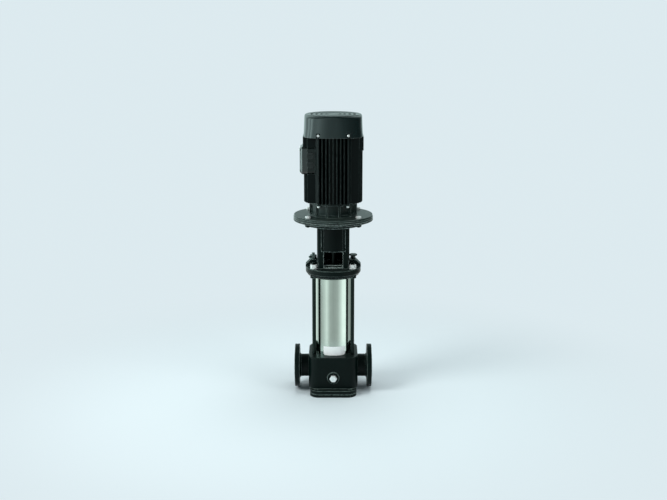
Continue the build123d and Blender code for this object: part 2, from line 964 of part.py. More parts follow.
def coupling_halves():
    """Two clamp shells, split along the XZ plane, bored for both shafts and the pin."""
    top = coupling_bottom + coupling_height
    body = disc(coupling_radius, coupling_bottom, top)
    lug_y = (-coupling_lug_y, coupling_lug_y)
    for z in (coupling_bottom, top - 2 * coupling_screw_inset):
        band = (z, z + 2 * coupling_screw_inset)
        body += block((-coupling_lug_x, coupling_lug_x), lug_y, band)
    body -= disc(shaft_radius + shaft_fit, coupling_bottom, top)
    body -= disc(motor_shaft_radius + shaft_fit, pump_shaft_top, top)
    pin_end = pin_length / 2 + pin_end_gap
    pin_z = coupling_bottom + pin_height
    body -= rod_x(pin_radius + thread_clearance, -pin_end, pin_end, 0, pin_z)
    for x, z in coupling_screw_places():
        hole = coupling_screw_radius + thread_clearance
        body -= rod_y(hole, -coupling_lug_y, coupling_lug_y, x, z)
    slot = coupling_split / 2
    lug_x = (-coupling_lug_x, coupling_lug_x)
    body -= block(lug_x, (-slot, slot), (coupling_bottom, top))
    return Compound(body.solids())


def coupling_screws():
    """Socket-head screws that clamp the coupling shells together."""
    screws = []
    for x, z in coupling_screw_places():
        screw = rod_y(coupling_screw_radius, -coupling_lug_y, coupling_lug_y, x, z)
        head_end = -coupling_lug_y - coupling_screw_head_height
        screw += rod_y(coupling_screw_head_radius, head_end, -coupling_lug_y, x, z)
        screws.append(screw)
    return group(screws)


def flange_bolt_places():
    """The four places of the motor bolts, between the main axes."""
    reach = motor_bolt_circle * math.sqrt(0.5)
    return corners(reach, reach)


def flange_bolts():
    """Hexagon bolts through motor flange and stool flange, each with its nut."""
    low = stool_top - stool_flange_thickness - flange_nut_height
    pieces = []
    for x, y in flange_bolt_places():
        bolt = disc(flange_bolt_radius, low - flange_bolt_end, motor_flange_top, x, y)
        head_top_face = motor_flange_top + flange_bolt_head
        bolt += hexagon(flange_bolt_flats, motor_flange_top, head_top_face, x, y)
        hole = disc(flange_bolt_radius + thread_clearance, low, low + flange_nut_height, x, y)
        nut = hexagon(flange_bolt_flats, low, low + flange_nut_height, x, y) - hole
        pieces.append(bolt)
        pieces.append(nut)
    return group(pieces)


def drive_end_shield():
    """Motor flange with its spigot, ribbed neck and the seat of the lower bearing."""
    seat = drive_bearing_outer + thread_clearance
    inner_neck = neck_shield_radius - shield_wall
    bearing_top = drive_bearing_bottom + drive_bearing_width
    shaft_hole = motor_shaft_radius + shield_shaft_gap
    step_height = (stool_top + motor_flange_top) / 2
    shield = turned(
        (shaft_hole, stool_top - motor_spigot_height),
        (motor_spigot_radius, stool_top - motor_spigot_height),
        (motor_spigot_radius, stool_top),
        (motor_flange_radius - motor_flange_bevel, stool_top),
        (motor_flange_radius, stool_top + motor_flange_bevel),
        (motor_flange_radius, step_height),
        (motor_flange_radius - motor_flange_step, step_height),
        (motor_flange_radius - motor_flange_step, motor_flange_top - motor_flange_bevel),
        (motor_flange_radius - motor_flange_step - motor_flange_bevel, motor_flange_top),
        (neck_shield_radius + neck_blend_height, motor_flange_top),
        (neck_shield_radius, motor_flange_top + neck_blend_height),
        (neck_shield_radius, stator_bottom),
        (inner_neck, stator_bottom),
        (inner_neck, motor_flange_top + shield_wall),
        (seat + shield_wall, motor_flange_top + shield_wall),
        (seat + shield_wall, bearing_top + bearing_lip),
        (seat, bearing_top + bearing_lip),
        (seat, drive_bearing_bottom),
        (shaft_hole, drive_bearing_bottom),
    )
    half = neck_rib_thickness / 2
    rib_x = (neck_shield_radius - rib_root, neck_rib_radius)
    rib = block(rib_x, (-half, half), (motor_flange_top, stator_bottom))
    for piece in around(rib, neck_rib_count, 180 / neck_rib_count):
        shield += piece
    low = stator_bottom - tie_lug_thickness
    shield += ring(neck_rib_radius, inner_neck, low, stator_bottom)
    for x, y in corners(tie_x, tie_y):
        shield += disc(tie_boss_radius, low, stator_bottom, x, y)
        shield -= disc(tie_screw_radius + thread_clearance, low, stator_bottom, x, y)
    for x, y in flange_bolt_places():
        shield -= disc(flange_bolt_radius + bolt_clearance, stool_top, motor_flange_top, x, y)
    return shield


def tie_screws():
    """Screws that hold the drive end shield up to the stator housing."""
    seat = stator_bottom - tie_lug_thickness
    screws = []
    for x, y in corners(tie_x, tie_y):
        end = stator_bottom + tie_thread - thread_run_out
        screw = disc(tie_screw_radius, seat, end, x, y)
        screw += disc(tie_head_radius, seat - tie_head_height, seat, x, y)
        screws.append(screw)
    return group(screws)


def fin(offset, low, high):
    """One fin towards +X at a sideways offset, out to the round envelope of all fins."""
    reach = math.sqrt(fin_envelope ** 2 - offset ** 2)
    root = math.sqrt(housing_radius ** 2 - offset ** 2) - housing_wall / 2
    half = fin_thickness / 2
    return block((root, reach), (offset - half, offset + half), (low, high))


def fin_group(count):
    """Parallel fins towards +X, set evenly about the middle."""
    offsets = [(k - (count - 1) / 2) * fin_pitch for k in range(count)]
    return [fin(offset, stator_bottom, stator_top) for offset in offsets]


def box_space(margin):
    """The room that the terminal box takes beside the housing's wall."""
    high = box_half_height + margin
    wide = box_half_width + margin
    far = side_pad_reach + lid_thickness
    room = block((-far, -box_inner_x + margin), (-wide, wide), (box_middle - high, box_middle + high))
    return room - disc(housing_radius, stator_bottom, stator_top)


def stator_housing():
    """Round housing with fins in four parallel groups, side pads and ridges for the screws."""
    housing = disc(housing_radius, stator_bottom, stator_top)
    for turn in (90, 270):
        for piece in fin_group(front_fin_count):
            housing += Rot(0, 0, turn) * piece
    for turn in (0, 180):
        for piece in fin_group(side_fin_count):
            housing += Rot(0, 0, turn) * piece
    half = (side_fin_count - 1) / 2 * fin_pitch
    pad_bottom = stator_top - side_pad_height
    for side in (-1, 1):
        pad_x = sorted((side * (housing_radius - housing_wall), side * side_pad_reach))
        pad = block(pad_x, (-half, half), (pad_bottom, stator_top))
        housing += pad
    for x, y in corners(tie_x, tie_y):
        housing += disc(tie_boss_radius, stator_bottom, stator_top, x, y)
    housing -= disc(housing_bore_radius, stator_bottom, stator_top)
    housing -= box_space(box_gap)
    for x, y in corners(tie_x, tie_y):
        tap = tie_screw_radius + thread_clearance
        housing -= disc(tap, stator_bottom, stator_bottom + tie_thread, x, y)
    return housing


def stator_core():
    """Laminated core pressed into the housing."""
    return ring(housing_bore_radius - thread_clearance, core_bore_radius, core_bottom, core_top)


def stator_windings():
    """Winding heads at both ends of the core."""
    return group([
        ring(winding_outer_radius, winding_inner_radius, core_bottom - winding_height, core_bottom),
        ring(winding_outer_radius, winding_inner_radius, core_top, core_top + winding_height),
    ])


def rotor_core():
    """Rotor pack on the motor shaft."""
    return ring(core_bore_radius - air_gap, rotor_shaft_radius + shaft_fit, core_bottom, core_top)


def motor_shaft():
    """Stepped shaft from the coupling up to the fan."""
    seat_top = drive_bearing_bottom + drive_bearing_width
    return turned(
        (0, motor_shaft_bottom),
        (motor_shaft_radius, motor_shaft_bottom),
        (motor_shaft_radius, drive_bearing_bottom),
        (drive_bearing_inner, drive_bearing_bottom),
        (drive_bearing_inner, seat_top),
        (rotor_shaft_radius, seat_top),
        (rotor_shaft_radius, rear_bearing_bottom),
        (rear_bearing_inner, rear_bearing_bottom),
        (rear_bearing_inner, fan_bottom + fan_hub_height),
        (0, fan_bottom + fan_hub_height),
    )


def bearing_outer(outer, low, width):
    """Still ring of a shielded bearing."""
    return ring(outer, outer - ring_section, low, low + width)


def bearing_inner(inner, outer, low, width):
    """Turning ring of a shielded bearing with its balls and cage as one plain ring."""
    race = outer - ring_section - running_gap
    step = width / 4
    return turned(
        (inner + shaft_fit, low),
        (inner + ring_section, low),
        (inner + ring_section, low + step),
        (race, low + step),
        (race, low + width - step),
        (inner + ring_section, low + width - step),
        (inner + ring_section, low + width),
        (inner + shaft_fit, low + width),
    )


def bearing_outer_rings():
    """Still rings of the drive end and the rear bearing."""
    return group([
        bearing_outer(drive_bearing_outer, drive_bearing_bottom, drive_bearing_width),
        bearing_outer(rear_bearing_outer, rear_bearing_bottom, rear_bearing_width),
    ])


def bearing_inner_rings():
    """Turning rings of both bearings."""
    return group([
        bearing_inner(drive_bearing_inner, drive_bearing_outer, drive_bearing_bottom, drive_bearing_width),
        bearing_inner(rear_bearing_inner, rear_bearing_outer, rear_bearing_bottom, rear_bearing_width),
    ])


def cover_screw_height_at():
    """Height of the fan cover's screws."""
    return stator_top + cover_screw_height


def rear_end_shield():
    """Upper end shield with the rear bearing's seat and four lugs for the fan cover."""
    seat = rear_bearing_outer + thread_clearance
    spigot_bottom = stator_top - rear_spigot
    spigot = housing_bore_radius - thread_clearance
    top = stator_top + rear_shield_thickness
    shield = turned(
        (rear_bearing_inner + shield_shaft_gap, stator_top),
        (seat, stator_top),
        (seat, rear_bearing_bottom),
        (seat + shield_wall, rear_bearing_bottom),
        (seat + shield_wall, stator_top),
        (spigot - shield_wall, stator_top),
        (spigot - shield_wall, spigot_bottom),
        (spigot, spigot_bottom),
        (spigot, stator_top),
        (rear_shield_radius, stator_top),
        (rear_shield_radius, top),
        (rear_bearing_inner + shield_shaft_gap, top),
    )
    half = cover_lug_width / 2
    cover_room = cover_form(cover_wall + thread_clearance)
    for x, y in corners(cover_screw_x, 1):
        far = cover_face(cover_screw_height_at())
        lug_y = sorted((y * rear_shield_radius * cover_lug_root, y * far))
        lug = block((x - half, x + half), lug_y, (stator_top, stator_top + cover_lug_height))
        shield += lug & cover_room
        tap = cover_screw_radius + thread_clearance
        inner = far - cover_screw_length
        shield -= rod_y(tap, min(y * inner, y * far), max(y * inner, y * far), x, cover_screw_height_at())
    return shield


def cover_face(height):
    """Half depth of the fan cover at a height."""
    share = (height - stator_top) / (cover_height - cover_shoulder)
    return cover_foot_half - share * cover_taper


def cover_section(half, corner, height):
    """Cross-section of the fan cover: a square with round corners at a height."""
    return Pos(0, 0, height) * RectangleRounded(2 * half, 2 * half, corner)


def cover_form(inset):
    """Fan cover's outer form, or its inner form when inset: square walls and a round crown."""
    crown_half = cover_top_half - cover_crown_inset - inset
    bevel_half = crown_half - cover_bevel
    shoulder = total_height - cover_shoulder
    sections = [
        cover_section(cover_foot_half - inset, cover_corner - inset, stator_top),
        cover_section(cover_top_half - inset, cover_corner - inset, shoulder),
        cover_section(crown_half, crown_half - cover_crown_flat, total_height - cover_bevel),
        cover_section(bevel_half, bevel_half - cover_crown_flat, total_height - inset),
    ]
    form = loft(sections[:2])
    for lower, upper in zip(sections[1:], sections[2:]):
        form += loft([lower, upper])
    return form


def fan_cover():
    """Sheet cover with square walls and a round crown, which has a grille of ring slots."""
    cover = cover_form(0) - cover_form(cover_wall)
    low = total_height - 2 * cover_wall
    slots = None
    for k in range(grille_rings):
        inner = grille_inner + k * grille_pitch
        slot = ring(inner + grille_slot, inner, low, total_height)
        slots = slot if slots is None else slots + slot
    half = grille_spoke_width / 2
    reach = grille_inner + grille_rings * grille_pitch
    spoke = block((0, reach), (-half, half), (low, total_height))
    for piece in around(spoke, grille_spokes):
        slots -= piece
    cover -= slots
    for x, y in corners(cover_screw_x, 1):
        far = cover_foot_half
        near = cover_foot_half - cover_screw_length
        hole = cover_screw_radius + thread_clearance
        cover -= rod_y(hole, min(y * near, y * far), max(y * near, y * far), x, cover_screw_height_at())
    return cover


def fan_cover_screws():
    """Round-head screws through the foot of the fan cover, two at the front and two behind."""
    screws = []
    z = cover_screw_height_at()
    for x in (-cover_screw_x, cover_screw_x):
        face = cover_face(z) + cover_screw_lift
        screw = rod_y(cover_screw_radius, -face, -face + cover_screw_length, x, z)
        screw += rod_y(cover_screw_head_radius, -face - cover_screw_head_height, -face, x, z)
        screws.append(screw)
        screws.append(Rot(0, 0, 180) * screw)
    return group(screws)


def cooling_fan():
    """Radial fan on the upper end of the motor shaft."""
    plate_top = fan_bottom + fan_plate
    fan = ring(fan_hub_radius, rear_bearing_inner + shaft_fit, fan_bottom, fan_bottom + fan_hub_height)
    fan += ring(fan_radius, fan_hub_radius - blade_root, fan_bottom, plate_top)
    half = fan_blade_thickness / 2
    blade_x = (fan_hub_radius - blade_root, fan_radius)
    blade = block(blade_x, (-half, half), (fan_bottom, fan_bottom + fan_blade_height))
    for piece in around(blade, fan_blade_count):
        fan += piece
    return fan


def box_slab(width, height, corner, near, far):
    """Slab with round corners that stands on the left side, between two distances from the axis."""
    plate = extrude(RectangleRounded(width, height, corner), far - near)
    return Pos(-near, 0, box_middle) * (Rot(0, -90, 0) * (Rot(0, 0, 90) * plate))


def terminal_box():
    """Box body saddled on the housing, with a hollow and two cable entries at the front."""
    wide = 2 * box_half_width
    tall = 2 * box_half_height
    shell = box_slab(wide, tall, box_corner, box_inner_x, box_outer_x)
    shell -= disc(housing_radius + thread_clearance, stator_bottom, stator_top)
    corner = box_corner - box_wall
    hollow = box_slab(wide - 2 * box_wall, tall - 2 * box_wall, corner, box_inner_x, box_outer_x)
    hollow -= disc(housing_radius + box_wall, stator_bottom, stator_top)
    for y, z in corners(box_half_width - lid_screw_inset, box_half_height - lid_screw_inset):
        hollow -= rod_x(lid_post_radius, -box_outer_x, -box_inner_x, y, box_middle + z)
    shell -= hollow
    for y, z in corners(box_half_width - lid_screw_inset, box_half_height - lid_screw_inset):
        end = -box_outer_x + lid_tap_depth
        shell -= rod_x(lid_screw_radius + thread_clearance, -box_outer_x, end, y, box_middle + z)
    for z in entry_heights():
        inner = -box_half_width + box_wall
        shell -= rod_y(entry_radius + thread_clearance, -box_half_width, inner, -entry_x, z)
    return shell


def entry_heights():
    """Heights of the two cable entries."""
    middle = box_middle + entry_offset
    return (middle - entry_pitch / 2, middle + entry_pitch / 2)


def cable_entry_plugs():
    """Blanking plugs screwed into the cable entries, each with a coin slot."""
    plugs = []
    face = -box_half_width
    for z in entry_heights():
        plug = rod_y(entry_radius, face, face + box_wall, -entry_x, z)
        plug += rod_y(entry_flange_radius, face - entry_flange_thickness, face, -entry_x, z)
        slot_x = (-entry_x - entry_radius, -entry_x + entry_radius)
        slot_z = (z - entry_slot / 2, z + entry_slot / 2)
        front = face - entry_flange_thickness
        plug -= block(slot_x, (front, front + entry_slot_depth), slot_z)
        plugs.append(plug)
    return group(plugs)


def terminal_box_lid():
    """Deep lid with soft outer edges, hollow behind."""
    wide = 2 * box_half_width
    tall = 2 * box_half_height
    far = box_outer_x + lid_thickness
    lid = box_slab(wide, tall, box_corner, box_outer_x, far)
    lid = fillet(lid.faces().sort_by(Axis.X)[0].edges(), lid_edge)
    corner = box_corner - box_wall
    hollow = box_slab(wide - 2 * box_wall, tall - 2 * box_wall, corner, box_outer_x, far - lid_wall)
    for y, z in corners(box_half_width - lid_screw_inset, box_half_height - lid_screw_inset):
        hollow -= rod_x(lid_post_radius + lid_wall, -far, -box_outer_x, y, box_middle + z)
    lid -= hollow
    for y, z in corners(box_half_width - lid_screw_inset, box_half_height - lid_screw_inset):
        seat = -far + lid_edge
        height = box_middle + z
        lid -= rod_x(lid_screw_radius + lid_hole_clearance, -far, -box_outer_x, y, height)
        lid -= rod_x(lid_screw_head_radius + lid_hole_clearance, -far, seat, y, height)
    return lid


def lid_screws():
    """Screws at the corners of the lid, sunk in its outer edge."""
    screws = []
    seat = -box_outer_x - lid_thickness + lid_edge
    for y, z in corners(box_half_width - lid_screw_inset, box_half_height - lid_screw_inset):
        height = box_middle + z
        end = -box_outer_x + lid_tap_depth - thread_run_out
        screw = rod_x(lid_screw_radius, seat, end, y, height)
        screw += rod_x(lid_screw_head_radius, seat - lid_screw_head_height, seat, y, height)
        screws.append(screw)
    return group(screws)


def terminal_board():
    """Block with six studs on the floor of the terminal box."""
    near = housing_radius + box_wall
    half_width = board_width / 2
    half_height = board_height / 2
    heights = (box_middle - half_height, box_middle + half_height)
    board = block((-near - board_thickness, -near), (-half_width, half_width), heights)
    for column in (-1, 0, 1):
        for row in (-1, 1):
            y = column * board_stud_pitch
            z = box_middle + row * board_row_pitch / 2
            start = -near - board_thickness - board_stud_length
            board += rod_x(board_stud_radius, start, -near - board_thickness, y, z)
    return board


single_pieces = (
    pump_base,
    drain_plug,
    drain_gasket,
    outer_sleeve,
    sleeve_o_rings,
    stay_bolts,
    stay_bolt_nuts,
    stay_bolt_washers,
    pump_head,
    priming_plug,
    vent_spindle,
    gauge_plug,
    motor_stool,
    stool_bolts,
    coupling_guard_front,
    coupling_guard_rear,
    guard_screws,
    suction_inlet,
    neck_rings,
    top_plate,
    stack_spring,
    seal_seat,
    seal_rotor,
    pump_shaft,
    coupling_halves,
    coupling_screws,
    coupling_pin,
    flange_bolts,
    drive_end_shield,
    tie_screws,
    stator_housing,
    stator_core,
    stator_windings,
    rotor_core,
    motor_shaft,
    bearing_outer_rings,
    bearing_inner_rings,
    rear_end_shield,
    cooling_fan,
    fan_cover,
    fan_cover_screws,
    terminal_box,
    terminal_box_lid,
    lid_screws,
    terminal_board,
    cable_entry_plugs,
)

os.makedirs("parts", exist_ok=True)
for make in single_pieces:
    export_step(make(), f"parts/{make.__name__}.step")
for stage in range(stage_count):
    export_step(chamber(stage), f"parts/chamber_{stage + 1}.step")
    export_step(impeller(stage), f"parts/impeller_{stage + 1}.step")
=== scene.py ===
"""Looks of a vertical multistage pump.

Finishes for the CAD nodes, finer fastenings, the fan cover, rear guard, terminal box lid and blank
label, and the floor, studio, lamps and camera round them. Lengths are in metres.
"""

import math

import bpy
import numpy as np
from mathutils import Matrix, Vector


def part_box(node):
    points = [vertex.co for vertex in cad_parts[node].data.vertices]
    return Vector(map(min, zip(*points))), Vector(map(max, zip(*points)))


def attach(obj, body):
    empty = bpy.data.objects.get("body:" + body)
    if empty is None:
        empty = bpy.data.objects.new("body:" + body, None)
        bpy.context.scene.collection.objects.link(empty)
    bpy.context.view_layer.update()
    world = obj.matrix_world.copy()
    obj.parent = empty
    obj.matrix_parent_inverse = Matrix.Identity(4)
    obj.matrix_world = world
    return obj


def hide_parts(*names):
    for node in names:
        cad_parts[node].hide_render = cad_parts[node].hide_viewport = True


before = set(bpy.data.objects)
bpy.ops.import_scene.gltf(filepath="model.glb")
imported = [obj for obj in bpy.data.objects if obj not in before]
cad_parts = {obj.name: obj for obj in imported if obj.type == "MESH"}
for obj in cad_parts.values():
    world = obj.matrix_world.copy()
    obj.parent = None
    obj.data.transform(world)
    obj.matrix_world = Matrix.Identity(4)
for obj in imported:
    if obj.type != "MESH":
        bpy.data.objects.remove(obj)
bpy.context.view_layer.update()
MM = 0.001

# Camera, as it stood for the photograph
camera_place = Vector((0.0, -3.9, 1.436))
camera_target = Vector((0.001, 0.0, 0.55))
camera_lens = 56.6
camera_sensor = 36.0

# Surroundings, in linear colour
air_colour = (0.722, 0.825, 0.865)
floor_colour = (0.64, 0.735, 0.77)
floor_reach = 30.0
floor_near = 0.45
floor_far = 1.5
floor_mirrored = 0.35
floor_unmirrored = 0.8
floor_middle = 0.02
floor_first_ring = 0.1
floor_rings = 24
floor_columns = 64
even_strength = 0.42
lamp_colour = (1.0, 0.99, 0.97)

# Studio: heights where it changes, as a ray's Z, then levels and tints
low_studio_end = -0.24
high_studio_start = -0.225
ceiling_start = 0.4
ceiling_full = 0.85
ceiling_level = 0.3
studio_peak = 3.0
low_studio_tint = (0.93, 1.0, 0.975)
high_studio_tint = (0.76, 1.0, 0.985)

# Name, place, target, size and power of each lamp
LAMPS = (
    ("key", (-2.6, -1.6, 2.6), (0, 0, 0.6), 1.6, 90),
    ("fill", (2.8, -2.0, 2.0), (0, 0, 0.5), 2.2, 40),
    ("top", (0.2, 0.6, 3.4), (0, 0, 0.4), 2.0, 60),
)

# Points round a circle, and the least angle of a sharp edge in degrees
round_columns = 48
thread_columns = 40
corner_columns = 12
sharp_angle = 32

# Fastenings, in metres
thread_pitch = 2 * MM
thread_depth = 1.1 * MM
stay_radius = 7.25 * MM
nut_flats = 24 * MM
nut_bore = 7.3 * MM
chamfer_slope = math.tan(math.radians(30))
flange_bolt_radius = 6 * MM
flange_bolt_flats = 18 * MM
flange_bolt_pitch = 1.75 * MM
flange_bolt_depth = 0.95 * MM
flange_bolt_head = 8 * MM
flange_bolt_thread = 4 * MM
flange_nut_height = 10 * MM
flange_bolt_end = 2 * MM
washer_face = 0.4 * MM
drain_flats = 24 * MM
drain_head = 9 * MM
drain_dimple = 5.5 * MM
drain_thread = 8 * MM
tie_head_radius = 5.5 * MM
tie_head_height = 7 * MM
tie_screw_radius = 3 * MM
stool_bolt_head_radius = 8 * MM
stool_bolt_head_height = 8 * MM
stool_bolt_radius = 5 * MM
cover_head_radius = 4.6 * MM
cover_head_height = 2.6 * MM
cover_screw_radius = 3 * MM
cover_screw_shank = 12 * MM
small_head_radius = 5 * MM
small_head_height = 3 * MM
small_screw_radius = 2.5 * MM
guard_tab = 10 * MM
guard_screw_inset = 9 * MM
guard_sheet = 1.5 * MM
guard_screw_shank = 7 * MM

# Details of fastenings, as shares of half the flats, bore, dimple, pitch, radius or height
nut_face = 0.97
nut_sink = 0.14
head_face = 0.96
dimple_floor = 0.86
dimple_depth = 0.22
thread_steps = 8
thread_cone = 0.7
socket_flats = 0.56
socket_depth = 0.6
socket_edge = 0.1
socket_mouth = 1.1
button_dome = 0.72
cross_half = 0.13
cross_reach = 0.55
cross_wall = 0.03
cross_floor = 0.35
cross_rim = (0.7, 0.82, 0.92, 0.97, 1.0)
touch = 1e-6

# Fan cover, as squareness of its section and sizes, with its bead's rows in and down as shares
cover_foot_square = 3.6
cover_wall_square = 3.0
cover_taper = 3 * MM
cover_shoulder = 12 * MM
cover_crown_inset = 2.5 * MM
cover_bead = 4 * MM
cover_bead_rows = ((0.25, 0.25), (1, 0), (1.6, 0.12), (2.2, 0.3))
cover_shoulder_end = 0.6
cover_crown_drop = 0.3
cover_crown_square = 2
cover_turn_steps = 7
cover_columns = 144
cover_sharp_angle = 40
cover_wall = 2 * MM
grille_rings = 4
grille_inner = 24 * MM
grille_pitch = 18 * MM
grille_slot = 8 * MM
grille_spokes = 6
grille_spoke_width = 9 * MM
grille_chamfer = 0.3
grille_columns = 96
grille_mouth = grille_inner + (grille_rings - 1) * grille_pitch + grille_slot

# Rear guard and terminal box lid
guard_drop = 10 * MM
guard_bulge = 7 * MM
guard_columns = 25
lid_lap = 2.5 * MM
lid_lap_gap = 0.4 * MM
lid_lap_depth = 8 * MM
lid_corner = 9 * MM
lid_bevel = 9.5 * MM
lid_bevel_deep = 8.5 * MM
lid_corner_shrink = 0.8
lid_wall = 3 * MM

# Blank sticker on the sleeve, as distances across its front and up from the base
label_left = -37 * MM
label_right = 45 * MM
label_low = 2 * MM
label_height = 35 * MM
label_corner = 8 * MM
label_thickness = 0.15 * MM
label_gap = 0.05 * MM
label_columns = 41
label_steps = (0, 0.06, 0.2, 0.45, 0.75, 1)
sleeve_seat = 12 * MM


def span(node):
    """Lowest and highest corner of a CAD node as arrays."""
    low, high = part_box(node)
    return np.array(low), np.array(high)


def round_rows(profile, columns=round_columns):
    """Rows of points round Z.

    Each row is a radius and a height, both a number or an array over the row's angles, and its
    points are radius times the angle's cosine and sine, at that height.
    """
    angle = np.arange(columns) * 2 * np.pi / columns
    rows = []
    for radius, height in profile:
        radius, height = np.broadcast_to(radius, columns), np.broadcast_to(height, columns)
        rows.append(np.stack([radius * np.cos(angle), radius * np.sin(angle), height], axis=-1))
    return np.stack(rows)


def skin(rows, ring=False):
    """Closed skin over rows of points: four-sided faces between neighbours round every row.

    The ends are closed by one flat face each, or joined to each other when the skin is a ring.
    """
    count, columns = rows.shape[:2]
    index = np.arange(count * columns).reshape(count, columns)
    below = index if ring else index[:-1]
    above = np.roll(index, -1, axis=0) if ring else index[1:]
    quads = np.stack([
        below, np.roll(below, -1, axis=1), np.roll(above, -1, axis=1), above,
    ], axis=-1).reshape(-1, 4)
    ends = [] if ring else [index[0][::-1].tolist(), index[-1].tolist()]
    return rows.reshape(-1, 3), quads, ends


# Columns of each matrix are where a skin's own X, Y and Z go
TURNS = {
    "z": np.eye(3),
    "-z": np.diag([1, -1, -1]),
    "-x": np.array([[0, 0, -1], [0, 1, 0], [1, 0, 0]]),
    "y": np.array([[0, 1, 0], [0, 0, 1], [1, 0, 0]]),
    "-y": np.array([[1, 0, 0], [0, 0, -1], [0, 1, 0]]),
}


def placed(part, place, axis="z"):
    """A skin turned from Z to another axis and moved to its place."""
    points, quads, ends = part
    return points @ TURNS[axis].T + np.asarray(place), quads, ends


def piece(name, parts, material, body, stands_for=(), sharp=sharp_angle):
    """One object out of several skins, riding on a body."""
    points, faces, count = [], [], 0
    for part_points, quads, ends in parts:
        points.append(part_points)
        faces += (quads + count).tolist()
        faces += [[k + count for k in end] for end in ends]
        count += len(part_points)
    mesh = bpy.data.meshes.new(name)
    mesh.from_pydata(np.concatenate(points).tolist(), [], faces)
    mesh.shade_smooth()
    mesh.set_sharp_from_angle(angle=math.radians(sharp))
    mesh.materials.append(material)
    made = bpy.data.objects.new(name, mesh)
    bpy.context.scene.collection.objects.link(made)
    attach(made, body)
    if stands_for:
        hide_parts(*stands_for)


def mirrored(x, y):
    """The four places that mirror one place about both middle planes."""
    return [(a * x, b * y) for a in (-1, 1) for b in (-1, 1)]


def hexagon(flats):
    """Distance from the middle to a hexagon's side at each angle round it.

    It is half the flats over the cosine of the angle away from that side's own direction.
    """
    angle = np.arange(round_columns) * 2 * np.pi / round_columns
    return flats / 2 / np.cos(np.mod(angle, np.pi / 3) - np.pi / 6)


def hexagon_nut(flats, bore, low, high):
    """Nut with both faces chamfered: its sides end where they meet a cone through the flats."""
    side = hexagon(flats)
    face = flats / 2 * nut_face
    drop = np.maximum(side - face, 0) * chamfer_slope
    sink = bore * nut_sink
    return skin(round_rows([
        (bore + sink, low),
        (face, low),
        (side, low + drop),
        (side, high - drop),
        (face, high),
        (bore + sink, high),
        (bore, high - sink),
        (bore, low + sink),
    ]), ring=True)


def hexagon_head(flats, low, high, dimple=0.0):
    """Bolt head on a thin washer face, chamfered above, with an optional shallow round dimple."""
    side = hexagon(flats)
    face = flats / 2 * head_face
    drop = np.maximum(side - face, 0) * chamfer_slope
    rows = [
        (face, low),
        (face, low + washer_face),
        (side, low + washer_face),
        (side, high - drop),
        (face, high),
    ]
    if dimple:
        rows += [(dimple, high), (dimple * dimple_floor, high - dimple * dimple_depth)]
    return skin(round_rows(rows))


def threaded_rod(radius, low, thread_from, high, pitch, depth):
    """Rod whose upper stretch carries a thread.

    Down from the crest the radius falls by the depth times a triangle wave of height over pitch
    minus angle over a full turn, and the end is cut back by a cone.
    """
    angle_share = np.arange(thread_columns) / thread_columns
    rows = [(radius, low), (radius, thread_from)]
    for height in np.arange(thread_from, high, pitch / thread_steps):
        wave = np.abs(2 * np.mod(height / pitch - angle_share, 1) - 1)
        grown = min(1.0, (height - thread_from) / pitch)
        cone = radius + (high - height) - pitch * thread_cone
        rows.append((np.minimum(radius - depth * wave * grown, cone), height))
    rows.append((radius - pitch * thread_cone, high))
    return skin(round_rows(rows, thread_columns))


def socket_head(radius, height, shank_radius, shank_length):
    """Cylinder head with a hexagon socket, its shank below zero and its head above."""
    socket = hexagon(radius * 2 * socket_flats)
    edge = radius * socket_edge
    bottom = height * (1 - socket_depth)
    return skin(round_rows([
        (shank_radius, -shank_length),
        (shank_radius, 0),
        (radius, 0),
        (radius, height - edge),
        (radius - edge, height),
        (socket * socket_mouth, height),
        (socket, height - edge / 2),
        (socket, bottom),
    ]))


def cross_head(radius, height, shank_radius, shank_length):
    """Domed head with a cross cut into it, and its shank below zero.

    A square grid is bent to a disc by x = u sqrt(1 - v v / 2) and y = v sqrt(1 - u u / 2). The
    height falls from the middle as the root of one minus a share of the squared radius, less the
    recess where the grid lies inside an arm of the cross.
    """
    lines = [cross_reach + cross_wall, cross_reach, cross_half + cross_wall, cross_half]
    inner = np.array([-line for line in lines] + lines[::-1])
    outer = np.array(cross_rim)
    grid = np.concatenate([-outer[::-1], inner, outer])
    u, v = np.meshgrid(grid, grid, indexing="ij")
    x = radius * u * np.sqrt(1 - v * v / 2)
    y = radius * v * np.sqrt(1 - u * u / 2)
    dome = height * np.sqrt(np.maximum(1 - (x * x + y * y) / radius ** 2, 0)) ** button_dome
    half, reach = cross_half + touch, cross_reach + touch
    arm_u = (np.abs(v) <= half) & (np.abs(u) <= reach)
    arm_v = (np.abs(u) <= half) & (np.abs(v) <= reach)
    z = np.where(arm_u | arm_v, np.minimum(dome, height * cross_floor), dome)
    count = len(grid)
    top = np.arange(count * count).reshape(count, count)
    quads = np.stack([top[:-1, :-1], top[1:, :-1], top[1:, 1:], top[:-1, 1:]], axis=-1)
    rim = np.concatenate([top[:-1, 0], top[-1, :-1], top[:0:-1, -1], top[0, :0:-1]])
    head = np.stack([x, y, z], axis=-1).reshape(-1, 3)
    shank = head[rim] * np.array([shank_radius / radius, shank_radius / radius, 0])
    rows = np.stack([shank - np.array([0, 0, shank_length]), shank])
    lower = len(head) + np.arange(2 * len(rim)).reshape(2, len(rim))
    stack = np.stack([lower[0], lower[1], rim])
    sides = np.stack([
        stack[:-1], np.roll(stack[:-1], -1, axis=1), np.roll(stack[1:], -1, axis=1), stack[1:],
    ], axis=-1).reshape(-1, 4)
    points = np.concatenate([head, rows.reshape(-1, 3)])
    return points, np.concatenate([quads.reshape(-1, 4), sides]), [lower[0][::-1].tolist()]


# Colour sockets of a Mix node
MIX_FIRST, MIX_SECOND, MIX_RESULT = 6, 7, 2


